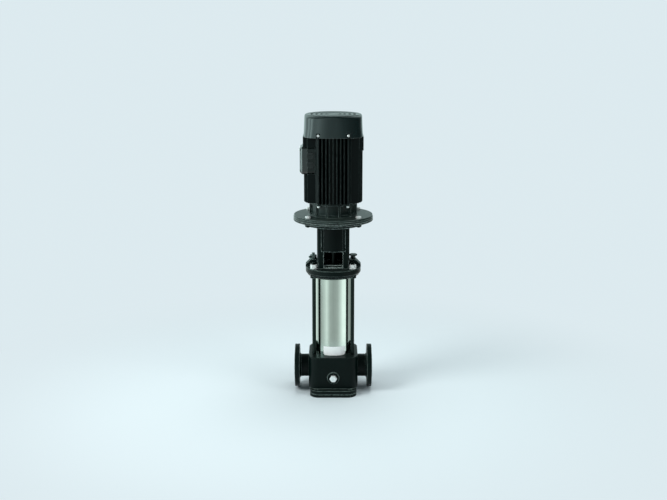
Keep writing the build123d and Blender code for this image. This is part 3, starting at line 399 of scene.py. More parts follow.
class Finish:
    """A material with a Principled shader and short ways to add nodes to it."""

    def __init__(self, name, **values):
        self.material = bpy.data.materials.new(name)
        self.material.use_nodes = True
        self.tree = self.material.node_tree
        self.tree.nodes.clear()
        self.shader = self.add("BsdfPrincipled")
        out = self.add("OutputMaterial")
        self.tree.links.new(self.shader.outputs[0], out.inputs["Surface"])
        for key, value in values.items():
            self.shader.inputs[key.replace("_", " ")].default_value = value
        self.place = self.add("TexCoord").outputs["Object"]

    def add(self, kind, inputs=None, **settings):
        """A new node with its settings, and with its inputs set to values or linked to sockets."""
        return add_node(self.tree, kind, inputs, **settings)

    def drive(self, socket, source):
        """Feeds one of the shader's sockets."""
        self.tree.links.new(source, self.shader.inputs[socket])

    def effect(self, group, **inputs):
        """One of the shared effects, with this material's own values."""
        return self.add("Group", inputs, node_tree=group).outputs

    def blend(self, share, first, second):
        """Colour mixed from two colours or sockets by a share."""
        node = self.add("Mix", data_type="RGBA")
        fill(self.tree, node, {"Factor": share, MIX_FIRST: first, MIX_SECOND: second})
        return node.outputs[MIX_RESULT]

    def between(self, share, low, high):
        """Number that runs from low to high with a share."""
        node = self.add("MapRange", {"Value": share, "To Min": low, "To Max": high})
        return node.outputs["Result"]

    def relief(self, height, normal):
        """Bump from a height in metres, over the smoothed edges' normal."""
        node = self.add("Bump", {
            "Height": height, "Distance": 1.0, "Strength": 1.0, "Normal": normal,
        })
        self.drive("Normal", node.outputs["Normal"])


def fill(tree, node, inputs):
    """Sets or links a node's inputs by name or number."""
    for key, value in (inputs or {}).items():
        socket = node.inputs[key]
        if isinstance(value, bpy.types.NodeSocket):
            tree.links.new(value, socket)
        elif isinstance(value, (tuple, list)) and len(value) == 3 and socket.type == "RGBA":
            socket.default_value = (*value, 1.0)
        else:
            socket.default_value = value


def add_node(tree, kind, inputs=None, **settings):
    """A new shader node with its settings and inputs."""
    node = tree.nodes.new("ShaderNode" + kind)
    for key, value in settings.items():
        setattr(node, key, value)
    fill(tree, node, inputs)
    return node


def start_group(name, inputs, outputs):
    """An empty shader group with named sockets, as its tree, input node and output node."""
    tree = bpy.data.node_groups.new(name, "ShaderNodeTree")
    for label, kind in inputs:
        tree.interface.new_socket(label, in_out="INPUT", socket_type=kind)
    for label, kind in outputs:
        tree.interface.new_socket(label, in_out="OUTPUT", socket_type=kind)
    return tree, tree.nodes.new("NodeGroupInput"), tree.nodes.new("NodeGroupOutput")


FLOAT, VECTOR = "NodeSocketFloat", "NodeSocketVector"

# Effects: noise scales per metre, shares and weights, and the cosines between which an edge shows
slow_scale = 14.0
streak_scale = 22.0
patch_scale = 90.0
patch_low, patch_full = 0.3, 0.56
dust_scale = 46.0
dust_low, dust_full = 0.3, 0.75
dust_slope = 0.35
lump_scale = 0.16
lump_weight = 2.4
grain_in_tone = 0.35
tone_drop = 0.17
line_tone_gain = 2.0
edge_start = 0.997
edge_full = 0.93
bare_edge = 0.4 * MM
bare_edge_gain = 1.25
solid_level = 0.4
dust_colour = (0.085, 0.1, 0.095)


def sand_cast_group():
    """Relief of a painted sand casting: fine grains, softer lumps and a slow unevenness."""
    tree, given, result = start_group(
        "sand cast",
        [("Place", VECTOR), ("Grain", FLOAT), ("Depth", FLOAT)],
        [("Height", FLOAT), ("Tone", FLOAT)],
    )
    inverse = add_node(tree, "Math", {0: 1.0, 1: given.outputs["Grain"]}, operation="DIVIDE")
    fine = add_node(tree, "TexNoise", {
        "Vector": given.outputs["Place"], "Scale": inverse.outputs[0], "Detail": 3.0,
        "Roughness": 0.62,
    })
    wider = add_node(tree, "Math", {0: inverse.outputs[0], 1: lump_scale}, operation="MULTIPLY")
    lumps = add_node(tree, "TexNoise", {
        "Vector": given.outputs["Place"], "Scale": wider.outputs[0], "Detail": 2.0,
    })
    slow = add_node(tree, "TexNoise", {
        "Vector": given.outputs["Place"], "Scale": slow_scale, "Detail": 3.0, "Roughness": 0.5,
    })
    both = add_node(tree, "Math", {0: lumps.outputs[0], 1: lump_weight, 2: fine.outputs[0]},
                    operation="MULTIPLY_ADD")
    height = add_node(tree, "Math", {0: both.outputs[0], 1: given.outputs["Depth"]},
                      operation="MULTIPLY")
    tone = add_node(tree, "Math", {0: fine.outputs[0], 1: grain_in_tone, 2: slow.outputs[0]},
                    operation="MULTIPLY_ADD")
    shifted = add_node(tree, "Math", {0: tone.outputs[0], 1: tone_drop}, operation="SUBTRACT")
    tree.links.new(height.outputs[0], result.inputs["Height"])
    tree.links.new(shifted.outputs[0], result.inputs["Tone"])
    return tree


def soft_edge_group():
    """Normal rounded over sharp edges, and a broken mask of those edges for a lighter colour that
    is partly worn paint and partly a painted highlight.
    """
    tree, given, result = start_group(
        "soft edge",
        [("Place", VECTOR), ("Radius", FLOAT), ("Wear", FLOAT)],
        [("Normal", VECTOR), ("Mask", FLOAT)],
    )
    bevel = add_node(tree, "Bevel", {"Radius": given.outputs["Radius"]}, samples=6)
    plain = add_node(tree, "NewGeometry")
    same = add_node(tree, "VectorMath", {0: bevel.outputs[0], 1: plain.outputs["Normal"]},
                    operation="DOT_PRODUCT")
    edge = add_node(tree, "MapRange", {
        "Value": same.outputs["Value"], "From Min": edge_start, "From Max": edge_full,
    })
    patches = add_node(tree, "TexNoise", {
        "Vector": given.outputs["Place"], "Scale": patch_scale, "Detail": 4.0, "Roughness": 0.7,
    })
    broken = add_node(tree, "MapRange", {
        "Value": patches.outputs[0], "From Min": patch_low, "From Max": patch_full,
    })
    # The edge mask carries painted highlights along the edges as well as worn, thin paint.
    mask = add_node(tree, "Math", {0: edge.outputs[0], 1: broken.outputs[0]}, operation="MULTIPLY")
    worn_and_lit = add_node(tree, "Math", {0: mask.outputs[0], 1: given.outputs["Wear"]},
                    operation="MULTIPLY")
    tree.links.new(bevel.outputs[0], result.inputs["Normal"])
    tree.links.new(worn_and_lit.outputs[0], result.inputs["Mask"])
    return tree


def tool_marks_group():
    """Fine lines of drawing, grinding or turning: noise squeezed by a stretch along each axis."""
    tree, given, result = start_group(
        "tool marks",
        [("Place", VECTOR), ("Stretch", VECTOR), ("Depth", FLOAT)],
        [("Height", FLOAT), ("Tone", FLOAT)],
    )
    moved = add_node(tree, "VectorMath", {0: given.outputs["Place"], 1: given.outputs["Stretch"]},
                     operation="MULTIPLY")
    lines = add_node(tree, "TexNoise", {"Vector": moved.outputs[0], "Scale": 1.0, "Detail": 3.0})
    slow = add_node(tree, "TexNoise", {
        "Vector": given.outputs["Place"], "Scale": streak_scale, "Detail": 2.0,
    })
    height = add_node(tree, "Math", {0: lines.outputs[0], 1: given.outputs["Depth"]},
                      operation="MULTIPLY")
    tone = add_node(tree, "Math", {0: lines.outputs[0], 1: slow.outputs[0]}, operation="MULTIPLY")
    lifted = add_node(tree, "Math", {0: tone.outputs[0], 1: line_tone_gain}, operation="MULTIPLY")
    tree.links.new(height.outputs[0], result.inputs["Height"])
    tree.links.new(lifted.outputs[0], result.inputs["Tone"])
    return tree


def dust_group():
    """Thin dust that lies on upward faces, patchy by noise."""
    tree, given, result = start_group(
        "dust",
        [("Place", VECTOR), ("Amount", FLOAT)],
        [("Mask", FLOAT)],
    )
    plain = add_node(tree, "NewGeometry")
    parts = add_node(tree, "SeparateXYZ", {0: plain.outputs["Normal"]})
    upward = add_node(tree, "MapRange", {
        "Value": parts.outputs["Z"], "From Min": dust_slope, "From Max": 1.0,
    })
    cloud = add_node(tree, "TexNoise", {
        "Vector": given.outputs["Place"], "Scale": dust_scale, "Detail": 5.0, "Roughness": 0.65,
    })
    patchy = add_node(tree, "MapRange", {
        "Value": cloud.outputs[0], "From Min": dust_low, "From Max": dust_full,
    })
    mask = add_node(tree, "Math", {0: upward.outputs[0], 1: patchy.outputs[0]},
                    operation="MULTIPLY")
    amount = add_node(tree, "Math", {0: mask.outputs[0], 1: given.outputs["Amount"]},
                      operation="MULTIPLY")
    tree.links.new(amount.outputs[0], result.inputs["Mask"])
    return tree


sand_cast = sand_cast_group()
soft_edge = soft_edge_group()
tool_marks = tool_marks_group()
dust = dust_group()


def paint(name, dark, light, grain, depth, shine, edge, wear_and_highlight, worn_and_highlight_colour, dusty=0.3, level=0.13):
    """Paint on metal: two near tones, a relief, lighter edges that are partly worn paint and
    partly a painted highlight, and a little dust on top.
    """
    made = Finish(name, Roughness=shine[0], Specular_IOR_Level=level)
    cast = made.effect(sand_cast, Place=made.place, Grain=grain, Depth=depth)
    rim = made.effect(soft_edge, Place=made.place, Radius=edge, Wear=wear_and_highlight)
    lying = made.effect(dust, Place=made.place, Amount=dusty)
    colour = made.blend(cast["Tone"], dark, light)
    # Painted highlight: the edges take a lighter colour that stands for light catching them, mixed
    # with worn paint.
    colour = made.blend(rim["Mask"], colour, worn_and_highlight_colour)
    made.drive("Base Color", made.blend(lying["Mask"], colour, dust_colour))
    made.drive("Roughness", made.between(cast["Tone"], *shine))
    made.relief(cast["Height"], rim["Normal"])
    return made.material


def metal(name, dark, light, shine, stretch, depth, polish=0.15, metallic=1.0):
    """Bare metal with tool marks, and edges that are a little brighter."""
    made = Finish(name, Metallic=metallic, Roughness=shine[0])
    marks = made.effect(tool_marks, Place=made.place, Stretch=stretch, Depth=depth)
    rim = made.effect(soft_edge, Place=made.place, Radius=bare_edge, Wear=polish)
    colour = made.blend(marks["Tone"], dark, light)
    bright = tuple(min(1.0, value * bare_edge_gain) for value in light)
    made.drive("Base Color", made.blend(rim["Mask"], colour, bright))
    made.drive("Roughness", made.between(marks["Tone"], *shine))
    made.relief(marks["Height"], rim["Normal"])
    return made.material


def solid(name, dark, light, shine, grain, depth):
    """Rubber, plastic, resin or print: two near tones and a fine grain."""
    made = Finish(name, Roughness=shine[0], Specular_IOR_Level=solid_level)
    cast = made.effect(sand_cast, Place=made.place, Grain=grain, Depth=depth)
    rim = made.effect(soft_edge, Place=made.place, Radius=bare_edge, Wear=0.0)
    made.drive("Base Color", made.blend(cast["Tone"], dark, light))
    made.drive("Roughness", made.between(cast["Tone"], *shine))
    made.relief(cast["Height"], rim["Normal"])
    return made.material


# How closely tool marks follow each other along X, Y and Z
ALONG_Z = (1500.0, 1500.0, 7.0)
ROUND_Z = (5.0, 5.0, 2600.0)
EVERY_WAY = (700.0, 700.0, 700.0)

PUMP_CASTING = {
    "dark": (0.0004, 0.0034, 0.0028), "light": (0.0018, 0.0066, 0.0056), "grain": 0.0011,
    "depth": 0.00011, "shine": (0.28, 0.4), "dusty": 0.12, "level": 0.12,
}
# Each paint's edge colour is partly worn paint and partly a painted highlight where light would
# catch the edges.
casting_black = paint(
    "casting black", edge=0.003, wear_and_highlight=0.9, worn_and_highlight_colour=(0.2, 0.27, 0.25), **PUMP_CASTING)
# The stool's edges and the guard's edges get a bright painted highlight, partly worn paint.
stool_black = paint(
    "stool black", edge=0.0036, wear_and_highlight=1.0, worn_and_highlight_colour=(0.42, 0.53, 0.5), **PUMP_CASTING)
motor_black = paint(
    "motor black", (0.0003, 0.0022, 0.0024), (0.0012, 0.0046, 0.0046), grain=0.0007,
    depth=0.00005, shine=(0.26, 0.36), edge=0.0013, wear_and_highlight=0.8, worn_and_highlight_colour=(0.1, 0.14, 0.132),
    level=0.16)
shield_black = paint(
    "end shield black", (0.0012, 0.006, 0.005), (0.004, 0.012, 0.0104), grain=0.0011,
    depth=0.0001, shine=(0.24, 0.34), edge=0.002, wear_and_highlight=0.9, worn_and_highlight_colour=(0.22, 0.3, 0.28),
    level=0.3)
lid_black = paint(
    "terminal lid black", (0.0003, 0.0022, 0.002), (0.0012, 0.004, 0.0036), grain=0.0006,
    depth=0.00002, shine=(0.13, 0.18), edge=0.002, wear_and_highlight=0.9, worn_and_highlight_colour=(0.3, 0.37, 0.355),
    dusty=0.1, level=1.3)
box_black = paint(
    "terminal box black", (0.0005, 0.0034, 0.003), (0.0018, 0.006, 0.0054), grain=0.0006,
    depth=0.00002, shine=(0.15, 0.22), edge=0.003, wear_and_highlight=0.95, worn_and_highlight_colour=(0.3, 0.37, 0.355),
    dusty=0.15, level=0.5)
cover_grey = paint(
    "fan cover grey", (0.001, 0.006, 0.0062), (0.0025, 0.009, 0.009), grain=0.0005,
    depth=0.00001, shine=(0.13, 0.18), edge=0.002, wear_and_highlight=0.7, worn_and_highlight_colour=(0.12, 0.16, 0.155),
    level=0.8)
guard_black = paint(
    "guard black", (0.0003, 0.0026, 0.0024), (0.0012, 0.0046, 0.0042), grain=0.0004,
    depth=0.00001, shine=(0.26, 0.34), edge=0.0025, wear_and_highlight=0.9, worn_and_highlight_colour=(0.42, 0.53, 0.51))
rod_black = metal(
    "blackened rod", (0.012, 0.02, 0.018), (0.026, 0.036, 0.033), (0.28, 0.4), ALONG_Z, 0.000006)
sleeve_steel = metal(
    "polished sleeve steel", (0.5, 0.6, 0.545), (0.6, 0.7, 0.645), (0.05, 0.085), ALONG_Z,
    0.0000006, polish=0.0)
sheet_steel = metal(
    "pressed stage steel", (0.46, 0.49, 0.48), (0.6, 0.63, 0.62), (0.22, 0.34), ROUND_Z, 0.000004)
shaft_steel = metal(
    "ground shaft steel", (0.42, 0.44, 0.43), (0.56, 0.58, 0.57), (0.14, 0.24), ROUND_Z, 0.000003)
dark_shaft = metal(
    "oiled shaft steel", (0.02, 0.025, 0.024), (0.04, 0.048, 0.046), (0.4, 0.55), ROUND_Z,
    0.000003)
zinc = metal(
    "zinc plate", (0.78, 0.83, 0.82), (0.94, 0.97, 0.96), (0.24, 0.4), EVERY_WAY, 0.00001,
    metallic=0.5)
dark_steel = metal(
    "blackened steel", (0.014, 0.022, 0.02), (0.03, 0.04, 0.037), (0.32, 0.46), EVERY_WAY,
    0.000008)
plug_metal = metal(
    "nickel plug metal", (0.1, 0.125, 0.12), (0.2, 0.24, 0.23), (0.26, 0.38), EVERY_WAY, 0.000008)
dark_plug = metal(
    "dark plug metal", (0.035, 0.045, 0.042), (0.07, 0.085, 0.08), (0.3, 0.42), EVERY_WAY,
    0.000008)
coupling_iron = metal(
    "phosphated coupling iron", (0.07, 0.078, 0.076), (0.13, 0.14, 0.138), (0.42, 0.58),
    EVERY_WAY, 0.00003)
lamination = metal(
    "lamination steel", (0.2, 0.21, 0.22), (0.34, 0.35, 0.36), (0.35, 0.5), ROUND_Z, 0.00002)
copper = metal(
    "varnished copper", (0.42, 0.17, 0.08), (0.62, 0.28, 0.14), (0.28, 0.42), ROUND_Z, 0.00005)
bearing_steel = metal(
    "bearing steel", (0.44, 0.45, 0.46), (0.6, 0.61, 0.62), (0.1, 0.2), ROUND_Z, 0.000002)
rubber = solid(
    "black rubber", (0.008, 0.008, 0.009), (0.016, 0.016, 0.017), (0.6, 0.8), 0.0004, 0.00001)
carbon = solid(
    "seal carbon", (0.012, 0.012, 0.013), (0.028, 0.028, 0.03), (0.22, 0.34), 0.0003, 0.000004)
fan_plastic = solid(
    "fan plastic", (0.012, 0.014, 0.014), (0.022, 0.025, 0.025), (0.4, 0.55), 0.0005, 0.00001)
plug_plastic = solid(
    "entry plug plastic", (0.008, 0.012, 0.012), (0.018, 0.024, 0.023), (0.3, 0.42), 0.0005,
    0.00001)
board_resin = solid(
    "terminal board resin", (0.045, 0.02, 0.012), (0.075, 0.034, 0.02), (0.35, 0.5), 0.0006,
    0.00001)
label_white = solid(
    "label film", (0.86, 0.91, 0.9), (0.95, 0.98, 0.97), (0.3, 0.38), 0.0006, 0.000003)

# Finish of each CAD node, those of pressed stage steel left out
FINISHES = {
    "pump_base": casting_black,
    "pump_head": casting_black,
    "motor_stool": stool_black,
    "drive_end_shield": shield_black,
    "stator_housing": motor_black,
    "rear_end_shield": motor_black,
    "terminal_box": box_black,
    "terminal_box_lid": lid_black,
    "fan_cover": cover_grey,
    "coupling_guard_front": guard_black,
    "coupling_guard_rear": guard_black,
    "outer_sleeve": sleeve_steel,
    "stay_bolts": rod_black,
    "stay_bolt_nuts": zinc,
    "stay_bolt_washers": zinc,
    "flange_bolts": zinc,
    "tie_screws": zinc,
    "stool_bolts": dark_steel,
    "guard_screws": dark_steel,
    "fan_cover_screws": zinc,
    "lid_screws": zinc,
    "coupling_screws": zinc,
    "coupling_pin": shaft_steel,
    "coupling_halves": coupling_iron,
    "pump_shaft": dark_shaft,
    "motor_shaft": shaft_steel,
    "drain_plug": zinc,
    "drain_gasket": rubber,
    "priming_plug": plug_metal,
    "vent_spindle": plug_metal,
    "gauge_plug": dark_plug,
    "sleeve_o_rings": rubber,
    "seal_seat": shaft_steel,
    "seal_rotor": carbon,
    "stator_core": lamination,
    "rotor_core": lamination,
    "stator_windings": copper,
    "bearing_outer_rings": bearing_steel,
    "bearing_inner_rings": bearing_steel,
    "cooling_fan": fan_plastic,
    "cable_entry_plugs": plug_plastic,
    "terminal_board": board_resin,
}


def dress_nodes():
    """Every CAD node gets its finish, or else the stages' pressed steel."""
    for name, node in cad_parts.items():
        node.data.materials.clear()
        node.data.materials.append(FINISHES.get(name, sheet_steel))


def stay_rods():
    """The four rods, threaded where they stand out of their nuts."""
    low, high = span("stay_bolts")
    nut_top = span("stay_bolt_nuts")[1][2]
    rod = threaded_rod(
        stay_radius, low[2], nut_top - thread_pitch, high[2], thread_pitch, thread_depth)
    places = mirrored(high[0] - stay_radius, high[1] - stay_radius)
    piece("stay_rods", [placed(rod, (x, y, 0)) for x, y in places], rod_black, "frame",
          stands_for=["stay_bolts"])


def stay_nuts():
    """Chamfered nuts on the stay rods."""
    low, high = span("stay_bolt_nuts")
    rod_high = span("stay_bolts")[1]
    nut = hexagon_nut(nut_flats, nut_bore, low[2], high[2])
    places = mirrored(rod_high[0] - stay_radius, rod_high[1] - stay_radius)
    piece("stay_nuts", [placed(nut, (x, y, 0)) for x, y in places], zinc, "frame",
          stands_for=["stay_bolt_nuts"])


def motor_bolts():
    """Hexagon bolts and nuts that join the motor's flange to the stool's."""
    low, high = span("flange_bolts")
    seat = high[2] - flange_bolt_head
    nut_low = low[2] + flange_bolt_end
    reach = high[0] - flange_bolt_flats / math.sqrt(3)
    head = hexagon_head(flange_bolt_flats, seat, high[2])
    length = seat - low[2]
    shank = threaded_rod(
        flange_bolt_radius, 0, length - flange_bolt_end - flange_bolt_thread, length,
        flange_bolt_pitch, flange_bolt_depth)
    nut = hexagon_nut(
        flange_bolt_flats, flange_bolt_radius, nut_low, nut_low + flange_nut_height)
    places = mirrored(reach, reach)
    piece("motor_bolt_heads", [placed(head, (x, y, 0)) for x, y in places], zinc, "frame",
          stands_for=["flange_bolts"])
    parts = [placed(shank, (x, y, seat), "-z") for x, y in places]
    parts += [placed(nut, (x, y, 0)) for x, y in places]
    piece("motor_bolt_nuts", parts, dark_steel, "frame",
          stands_for=["flange_bolts"])


def tie_screws():
    """Socket heads under the ridges that hold the drive end shield."""
    low, high = span("tie_screws")
    x, y = high[0] - tie_head_radius, high[1] - tie_head_radius
    seat = low[2] + tie_head_height
    screw = socket_head(tie_head_radius, tie_head_height, tie_screw_radius, high[2] - seat)
    piece("tie_screw_heads", [placed(screw, (a, b, seat), "-z") for a, b in mirrored(x, y)], zinc,
          "frame", stands_for=["tie_screws"])


def stool_bolts():
    """Socket heads inside the stool."""
    low, high = span("stool_bolts")
    x, y = high[0] - stool_bolt_head_radius, high[1] - stool_bolt_head_radius
    seat = high[2] - stool_bolt_head_height
    bolt = socket_head(
        stool_bolt_head_radius, stool_bolt_head_height, stool_bolt_radius, seat - low[2])
    piece("stool_bolt_heads", [placed(bolt, (a, b, seat)) for a, b in mirrored(x, y)], dark_steel,
          "frame", stands_for=["stool_bolts"])


def cover_screws():
    """Domed cross-head screws through the foot of the fan cover, at the front and the rear."""
    low, high = span("fan_cover_screws")
    x, z = high[0] - cover_head_radius, (low[2] + high[2]) / 2
    seat = high[1] - cover_head_height
    screw = cross_head(
        cover_head_radius, cover_head_height, cover_screw_radius, cover_screw_shank)
    parts = [placed(screw, (side * x, -seat, z), "-y") for side in (-1, 1)]
    parts += [placed(screw, (side * x, seat, z), "y") for side in (-1, 1)]
    piece("cover_screw_heads", parts, zinc, "frame", stands_for=["fan_cover_screws"])


def guard_screws():
    """Dark cross-head screws down both tabs of each guard."""
    screw = cross_head(
        small_head_radius, small_head_height, small_screw_radius, guard_screw_shank)
    parts = []
    for node, axis, side in (("coupling_guard_front", "-y", -1), ("coupling_guard_rear", "y", 1)):
        low, high = span(node)
        x = high[0] - guard_tab / 2
        inner = low[1] if side > 0 else high[1]
        for z in (low[2] + guard_screw_inset, high[2] - guard_screw_inset):
            for hand in (-1, 1):
                place = (hand * x, inner + side * guard_sheet, z)
                parts.append(placed(screw, place, axis))
    piece("guard_screw_heads", parts, dark_steel, "frame", stands_for=["guard_screws"])


def lid_screws():
    """Cross-head screws on the corners of the terminal box's lid."""
    low, high = span("lid_screws")
    y = high[1] - small_head_radius
    middle = (low[2] + high[2]) / 2
    z = high[2] - small_head_radius - middle
    seat = span("terminal_box_lid")[0][0]
    screw = cross_head(small_head_radius, small_head_height, small_screw_radius, high[0] - seat)
    parts = [placed(screw, (seat, a, middle + b), "-x") for a, b in mirrored(y, z)]
    piece("lid_screw_heads", parts, zinc, "frame", stands_for=["lid_screws"])


def drain_plug():
    """Hexagon plug with a round dimple in its face, screwed into the front of the base."""
    low, high = span("drain_plug")
    z = (low[2] + high[2]) / 2
    head = hexagon_head(drain_flats, 0, drain_head, dimple=drain_dimple)
    seat = low[1] + drain_head
    shank = skin(round_rows([(drain_thread, seat - high[1]), (drain_thread, 0)]))
    parts = [placed(part, (0, seat, z), "-y") for part in (head, shank)]
    piece("drain_plug_head", parts, zinc, "frame", stands_for=["drain_plug"])


def square_row(half, squareness, height):
    """Row round Z of a square with swollen sides.

    At each angle the radius is the half width over the root of that order of the summed powers
    of the cosine's and the sine's size, so order 2 is a circle and a high order a square.
    """
    angle = np.arange(cover_columns) * 2 * np.pi / cover_columns
    powers = np.abs(np.cos(angle)) ** squareness + np.abs(np.sin(angle)) ** squareness
    return half / powers ** (1 / squareness), height


def grille(top):
    """Rings and spokes of the air grille, each a closed skin with slightly rounded corners."""
    low, chamfer = top - cover_wall, cover_wall * grille_chamfer
    parts = []
    for k in range(1, grille_rings):
        inner = grille_inner + (k - 1) * grille_pitch + grille_slot
        outer = grille_inner + k * grille_pitch
        parts.append(skin(round_rows([
            (inner, low), (outer, low), (outer, top - chamfer), (outer - chamfer, top),
            (inner + chamfer, top), (inner, top - chamfer),
        ], grille_columns), ring=True))
    hub = [(grille_inner, low), (grille_inner, top - chamfer), (grille_inner - chamfer, top)]
    parts.append(skin(round_rows(hub, grille_columns)))
    outer = grille_mouth + chamfer
    half = grille_spoke_width / 2
    section = np.array([
        [-half, low], [half, low], [half, top - 2 * chamfer], [half - chamfer, top - chamfer],
        [chamfer - half, top - chamfer], [-half, top - 2 * chamfer],
    ])
    upright = np.array([0, 0, 1])
    for turn in np.arange(grille_spokes) * 2 * np.pi / grille_spokes:
        along = np.array([np.cos(turn), np.sin(turn), 0])
        across = np.array([-np.sin(turn), np.cos(turn), 0])
        ends = np.array([grille_inner - chamfer, outer])[:, None, None] * along
        parts.append(skin(ends + section[:, :1] * across + section[:, 1:] * upright))
    return parts


def fan_cover():
    """Pressed cover: swollen square walls, a round crown with a bead, and the grille.

    Its section's half width, squareness and height follow rows up the outside and back down the
    inside. Over the shoulder they turn from the walls' values to the crown's as the cosine and
    sine of a quarter turn.
    """
    low, high = span("fan_cover")
    foot, top = high[0], high[2]
    wall_half = foot - cover_taper
    crown = wall_half - cover_crown_inset
    shoulder = top - cover_shoulder
    rise = cover_shoulder - cover_bead * cover_shoulder_end
    rim = top - cover_bead * cover_crown_drop
    quarter = np.linspace(0, np.pi / 2, cover_turn_steps)
    swelling = cover_wall_square - cover_crown_square

    def rows(inset):
        waist, waist_height = foot - inset - cover_taper / 2, (low[2] + shoulder) / 2
        made = [
            square_row(foot - inset, cover_foot_square, low[2]),
            square_row(waist, cover_wall_square, waist_height),
            square_row(wall_half - inset, cover_wall_square, shoulder),
        ]
        for turn in quarter[1:]:
            made.append(square_row(
                crown - inset + (wall_half - crown) * np.cos(turn),
                cover_crown_square + swelling * np.cos(turn) ** 2,
                shoulder + (rise - inset) * np.sin(turn)))
        return made

    bead = [
        square_row(crown - cover_bead * inward, cover_crown_square, top - cover_bead * down)
        for inward, down in cover_bead_rows
    ]
    outside = rows(0) + bead + [(grille_mouth, rim)]
    inside = rows(cover_wall) + [(grille_mouth, rim - cover_wall)]
    shell = skin(round_rows(outside + inside[::-1], cover_columns), ring=True)
    piece("fan_cover_shell", [shell] + grille(rim), cover_grey, "frame",
          stands_for=["fan_cover"], sharp=cover_sharp_angle)


def rear_guard():
    """Bulged sheet that shuts the whole rear window, with a flat tab down each side.

    Between the tabs it stands out by the circle through both tabs' edges and the bulge: the root
    of the squared radius less the squared distance across, less the radius, plus the bulge.
    """
    low, high = span("coupling_guard_rear")
    reach, inner = high[0], high[0] - guard_tab
    radius = (inner ** 2 + guard_bulge ** 2) / (2 * guard_bulge)
    across = np.concatenate([[-reach], np.linspace(-inner, inner, guard_columns), [reach]])
    out = np.sqrt(radius ** 2 - np.minimum(across ** 2, inner ** 2)) - radius + guard_bulge
    near = np.stack([across, low[1] + out], axis=-1)
    loop = np.concatenate([near[::-1], near + np.array([0, guard_sheet])])[::-1]
    rows = np.stack([
        np.column_stack([loop, np.full(len(loop), height)])
        for height in (low[2] - guard_drop, high[2])
    ])
    piece("rear_guard_sheet", [skin(rows)], guard_black, "frame",
          stands_for=["coupling_guard_rear"])


def round_oblong(half_wide, half_tall, corner, out):
    """Row round the left-hand X direction: an oblong with round corners, as quarter circles."""
    turn = np.linspace(0, np.pi / 2, corner_columns)
    y, z = [], []
    for k, (a, b) in enumerate(((1, 1), (-1, 1), (-1, -1), (1, -1))):
        y.append(a * (half_wide - corner) + corner * np.cos(turn + k * np.pi / 2))
        z.append(b * (half_tall - corner) + corner * np.sin(turn + k * np.pi / 2))
    y, z = np.concatenate(y), np.concatenate(z)
    return np.stack([np.full_like(y, -out), y, z], axis=-1)


def box_lid():
    """Deep lid that laps over the box's rim, with a wide bevel outside and a hollow behind.

    Outward from the lap, the rows keep the outline, then shrink evenly over the bevel.
    """
    low, high = span("terminal_box_lid")
    middle = (low[2] + high[2]) / 2
    wide, tall = high[1], high[2] - middle
    joint, far = -high[0], -low[0]
    outer_wide, outer_tall = wide + lid_lap, tall + lid_lap
    gap_wide, gap_tall = wide + lid_lap_gap, tall + lid_lap_gap
    hollow_wide, hollow_tall = wide - lid_wall, tall - lid_wall
    face_corner = lid_corner + lid_lap - lid_bevel * lid_corner_shrink
    loops = np.stack([
        round_oblong(hollow_wide, hollow_tall, lid_corner - lid_wall, far - lid_wall),
        round_oblong(hollow_wide, hollow_tall, lid_corner - lid_wall, joint),
        round_oblong(gap_wide, gap_tall, lid_corner + lid_lap_gap, joint),
        round_oblong(gap_wide, gap_tall, lid_corner + lid_lap_gap, joint - lid_lap_depth),
        round_oblong(outer_wide, outer_tall, lid_corner + lid_lap, joint - lid_lap_depth),
        round_oblong(outer_wide, outer_tall, lid_corner + lid_lap, far - lid_bevel_deep),
        round_oblong(outer_wide - lid_bevel, outer_tall - lid_bevel, face_corner, far),
    ]) + np.array([0, 0, middle])
    piece("terminal_lid_shell", [skin(loops[:, ::-1])], lid_black, "frame",
          stands_for=["terminal_box_lid"])


def sleeve_label():
    """Blank sticker on the front of the sleeve.

    Its points lie on the sleeve's circle at equal angles. Near the lower edge both sides move in
    by the corner's radius less the root of its square minus the square of the height below the
    corner's middle.
    """
    low, high = span("outer_sleeve")
    radius = high[0] + label_gap
    left, right = math.asin(label_left / radius), math.asin(label_right / radius)
    rise = np.append(label_corner * np.array(label_steps), label_height)
    fall = np.maximum(label_corner - rise, 0)
    inset = (label_corner - np.sqrt(label_corner ** 2 - fall ** 2))[:, None] / radius
    angle = left + inset + (right - left - 2 * inset) * np.linspace(0, 1, label_columns)
    height = low[2] + sleeve_seat + label_low + rise[:, None] + 0 * angle

    def shell(distance):
        return np.stack([distance * np.sin(angle), -distance * np.cos(angle), height], axis=-1)

    rows = np.concatenate([shell(radius + label_thickness), shell(radius)[:, ::-1]], axis=1)
    piece("sleeve_label", [skin(rows)], label_white, "frame")


dress_nodes()
stay_rods()
stay_nuts()
motor_bolts()
tie_screws()
stool_bolts()
cover_screws()
guard_screws()
lid_screws()
drain_plug()
fan_cover()
rear_guard()
box_lid()
sleeve_label()


